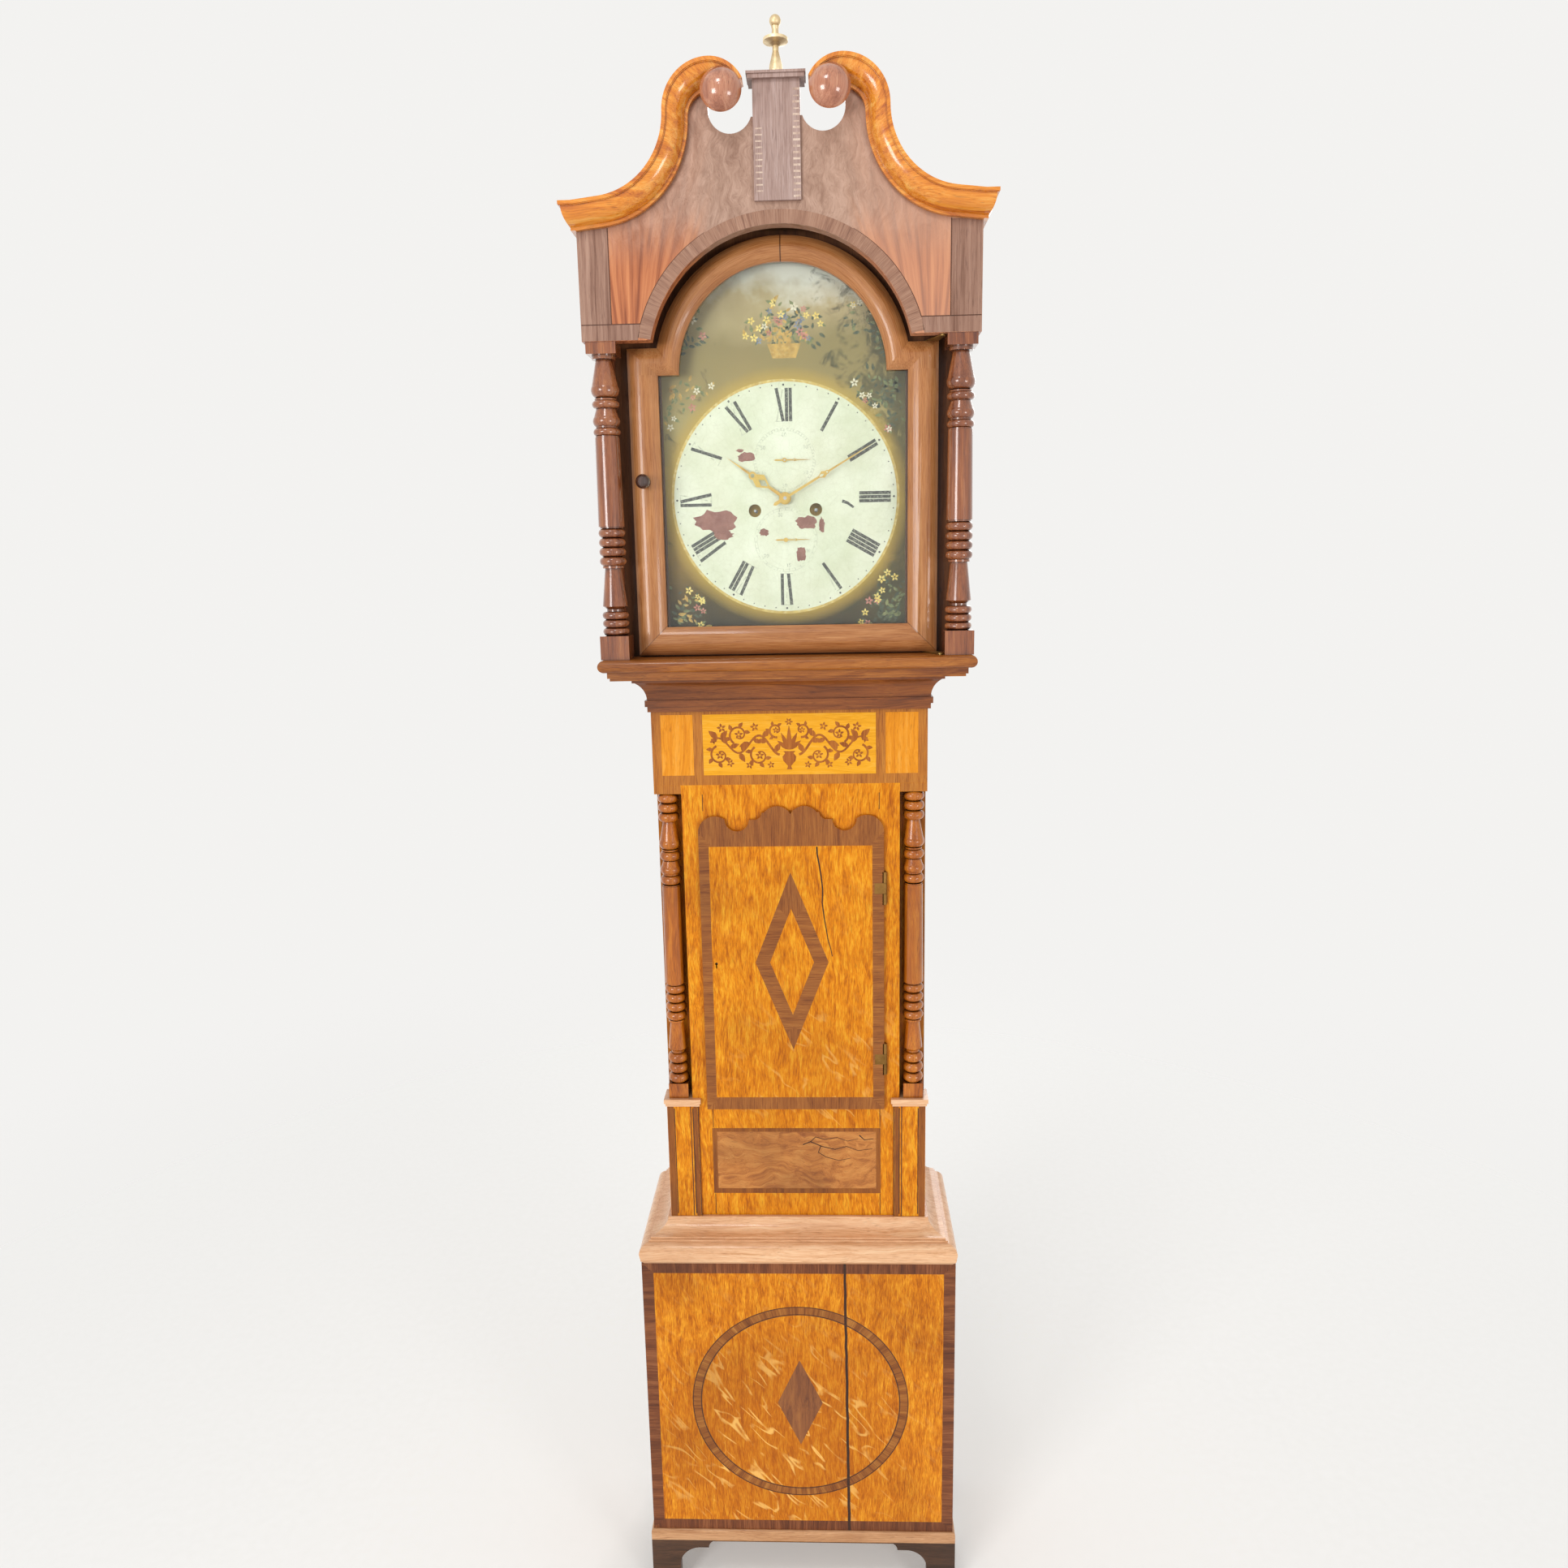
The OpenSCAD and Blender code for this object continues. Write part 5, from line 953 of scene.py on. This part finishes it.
print("seconds:", small_circle("seconds_circle", 52, 43, 60, 10),
      "dates:", small_circle("date_circle", -57, 44, 31, 5))

# %% [markdown]
# In several places the white has flaked off and shows the red-brown primer, iron oxide in
# oil. Each patch is a ragged outline whose radius jumps from point to point by a seeded
# random amount. A row gives a patch's centre, width, height and seed.

# %% Bare patches
primer = paint("red-brown primer", "#8d5f52 #7a4c42 #a98478", gaps=0.15, rough=0.6, scale=90.0)
PATCHES = ((-97, -29, 66, 34, 3), (29, -34, 32, 20, 5), (51, -38, 9, 24, 8), (21, -77, 15, 24, 13),
           (-31, -46, 15, 11, 21), (-54, 57, 27, 14, 34), (-88, -49, 30, 14, 55), (-62, 66, 12, 5, 89))
for i, (x, z, wide, high, seed) in enumerate(PATCHES):
    shape = random.Random(seed)
    outline = []
    for k in range(22):
        a = 2 * math.pi * k / 22
        grow = 0.5 * shape.uniform(0.72, 1.08)
        outline.append((x + wide * grow * math.cos(a), DIAL_Z + z + high * grow * math.sin(a)))
    on_dial("bare_patch_" + str(i + 1), [outline], 0.16 + 0.01 * i, primer)
dash = [(80, DIAL_Z - 5), (88, DIAL_Z - 8), (96, DIAL_Z - 14)]
on_dial("bare_dash", line(dash, 4.5, 3.0), 0.1, ink)
print("bare patches:", len(PATCHES) + 1)

# %% [markdown]
# The corners and the arch are painted with foliage and flowers. Each spray fans out from a
# point in stalks, with a leaf at each step and a blossom at each tip, all placed by seeded
# random numbers. Three greens and four flower colours are pieces of their own, so that each
# has its own paint.

# %% Painted flowers
PAINTS = {}
for name, label, shades, gaps in (
        ("dark_leaves", "dark green foliage paint", "#2f3a2a #46503a #7a7448", 0.3),
        ("green_leaves", "green foliage paint", "#56603a #727a4c #a59a62", 0.3),
        ("ochre_leaves", "ochre foliage paint", "#a37f35 #c09a4a #b8a467", 0.3),
        ("rose_flowers", "rose flower paint", "#a5594f #c08072 #cdb59a", 0.2),
        ("blue_flowers", "slate blue flower paint", "#566178 #7b8495 #b5ab8b", 0.2),
        ("yellow_flowers", "yellow flower paint", "#d3b54f #e0cc7a #cbbb84", 0.2),
        ("white_flowers", "white flower paint", "#d9d3bd #c7bea2 #b7ac8a", 0.2)):
    PAINTS[name] = paint(label, shades, gaps=gaps, scale=150.0)
strokes = {name: [] for name in PAINTS}


def spray_of(x, z, turn, spread, reach, stalks, seed, leaves, flowers):
    """Stalks with leaves and a blossom at each tip, kept off the white disc."""
    shape = random.Random(seed)
    for k in range(stalks):
        a = turn + spread * ((k + 0.5) / stalks - 0.5) + shape.uniform(-6, 6)
        long = reach * shape.uniform(0.55, 1.0)
        steps = max(3, int(long / 7))
        for i in range(steps + 1):
            bend = a + 14 * math.sin(i * 0.9 + k)
            c, s = way(bend)
            px, pz = x + long * i / steps * c, z + long * i / steps * s
            if math.hypot(px, pz - DIAL_Z) <= 170 or abs(px) >= 168:
                break
            kind = leaves[shape.randrange(len(leaves))]
            size = shape.uniform(6, 11)
            strokes[kind] += leaf(px, pz, bend + shape.choice((-55, 50)), size, size * 0.45)
            if i == steps:
                kind = flowers[shape.randrange(len(flowers))]
                strokes[kind] += blossom(px, pz, shape.uniform(4, 6.5), 5, a)


DARK = ("dark_leaves", "dark_leaves", "green_leaves")
MIXED = ("dark_leaves", "green_leaves", "ochre_leaves")
WARM = ("ochre_leaves", "green_leaves")
ROSE, BLUE, YELLOW, WHITE = (c + "_flowers" for c in ("rose", "blue", "yellow", "white"))
spray_of(-158, 1584, 40, 100, 60, 9, 11, MIXED, (YELLOW, ROSE))
spray_of(158, 1584, 140, 100, 66, 11, 12, DARK, (ROSE, YELLOW))
spray_of(158, 1902, 220, 110, 70, 11, 13, DARK, (ROSE, WHITE))
spray_of(-158, 1902, -40, 110, 60, 6, 14, WARM, (WHITE, ROSE))
spray_of(-146, 1940, 75, 70, 85, 8, 15, DARK, (WHITE, ROSE))
spray_of(146, 1940, 105, 70, 85, 8, 16, DARK, (WHITE, YELLOW))
spray_of(4, 1952, 90, 150, 62, 15, 17, MIXED, (ROSE, BLUE, YELLOW, WHITE))
spray_of(2, 1962, 90, 170, 40, 12, 18, MIXED, (ROSE, BLUE, ROSE, YELLOW))
basket = [[(-14, 1938), (18, 1938), (25, 1957), (-21, 1957)]]
on_dial("painted_basket", basket, 0.22, PAINTS["ochre_leaves"])
for coat, (name, faces) in enumerate(strokes.items()):
    on_dial("painted_" + name, faces, 0.06 + 0.02 * coat, PAINTS[name], loose=True)
print("painted strokes:", sum(len(faces) for faces in strokes.values()))

# %% [markdown]
# The studio is plain. A pale floor fades a few metres out into a pale world, so that no
# edge shows from any side. The world is brighter for the rays that look at it, straight, in
# a polish or through the glass, than for those that carry its light to the clock. Rays
# scattered behind the glass find it dimmer, because the Transparent shader already lets its
# light in.

# %% Floor and world
mesh = bpy.data.meshes.new("studio_floor")
bm = bmesh.new()
bmesh.ops.create_circle(bm, cap_ends=True, segments=96, radius=7.0)
bm.to_mesh(mesh)
bm.free()
show("studio_floor", mesh)
floor_finish, add, shader, place = finish("pale studio floor")
mesh.materials.append(floor_finish)
tone = add("Mix RGBA", add("TexNoise", place, 60.0, 3.0), "#f0efec", "#f5f4f2")
fill(shader, Base_Color=tone, Roughness=0.7, Emission_Color=tone, Emission_Strength=0.2)
thin(add, shader, add("MapRange SMOOTHSTEP", add("VectorMath LENGTH", place), 0.3, 3.2))

FILL, SHOWN = 0.47, 0.93
world = bpy.data.worlds.new("studio")
bpy.context.scene.world = world
world.use_nodes = True
world.node_tree.nodes.clear()
add = partial(add_node, world.node_tree)
ray = add("LightPath").node.outputs
glassy = ray["Is Transmission Ray"]
direct = add("Math LESS_THAN", ray["Diffuse Depth"], 0.5)
mirror = add("Math MAXIMUM", glassy, ray["Is Glossy Ray"])
through = add("Math MULTIPLY", mirror, direct)
seen = add("Math MAXIMUM", ray["Is Camera Ray"], through)
level = add("MapRange", seen, 0, 1, FILL, SHOWN)
inner = add("Math SUBTRACT", glassy, through)
level = add("Math MULTIPLY_ADD", inner, -0.6 * FILL, level)
add("OutputWorld", add("Background", "#fbfaf8", level))
print("floor and world ready")

# %% [markdown]
# Four soft lamps light the clock: the key from the left, a weaker one from the right, a
# small one above for the highlights on the polish, and one behind. A row gives a lamp's
# place, the height it is aimed at, its size and its power. Glass hides them, because the
# Transparent shader already lets their light in.

# %% Lamps
LAMPS = (("key", (-2.4, -3.6, 1.8), 1.0, 1.3, 70), ("fill", (2.8, -3.4, 1.1), 0.9, 1.1, 42),
         ("top", (-0.4, -1.5, 3.3), 1.2, 0.4, 8), ("back", (0.6, 3.2, 3.0), 1.2, 1.8, 45))
for name, place, aim, size, power in LAMPS:
    data = bpy.data.lights.new(name, "AREA")
    data.size = size
    data.energy = power
    lamp = show(name, data)
    lamp.location = place
    lamp.visible_transmission = False
    lamp.rotation_euler = (Vector((0, 0, aim)) - Vector(place)).to_track_quat("-Z", "Y").to_euler()
print("lamps:", [row[0] for row in LAMPS])

# %% [markdown]
# The camera stands 1.66 m in front of the clock's middle and 1.67 m above the floor, and
# looks down by 11 degrees, a little to the left and with a slight tilt, so that the foot of
# the clock falls just at the lower edge of its square frame.

# %% Camera
STAND = (0.0534, -1.6568, 1.6684)
PITCH, YAW, ROLL = (math.radians(a) for a in (11.325, -2.204, -1.097))
data = bpy.data.cameras.new("photo_camera")
data.sensor_fit = "HORIZONTAL"
data.sensor_width = 36.0
data.lens = 25.86
camera = show("photo_camera", data)
camera.matrix_world = (Matrix.Translation(STAND) @ Matrix.Rotation(-YAW, 4, "Z")
                       @ Matrix.Rotation(math.pi / 2 - PITCH, 4, "X") @ Matrix.Rotation(ROLL, 4, "Z"))
bpy.context.scene.camera = camera
bpy.context.scene.view_settings.view_transform = "Standard"
print("camera at", STAND)
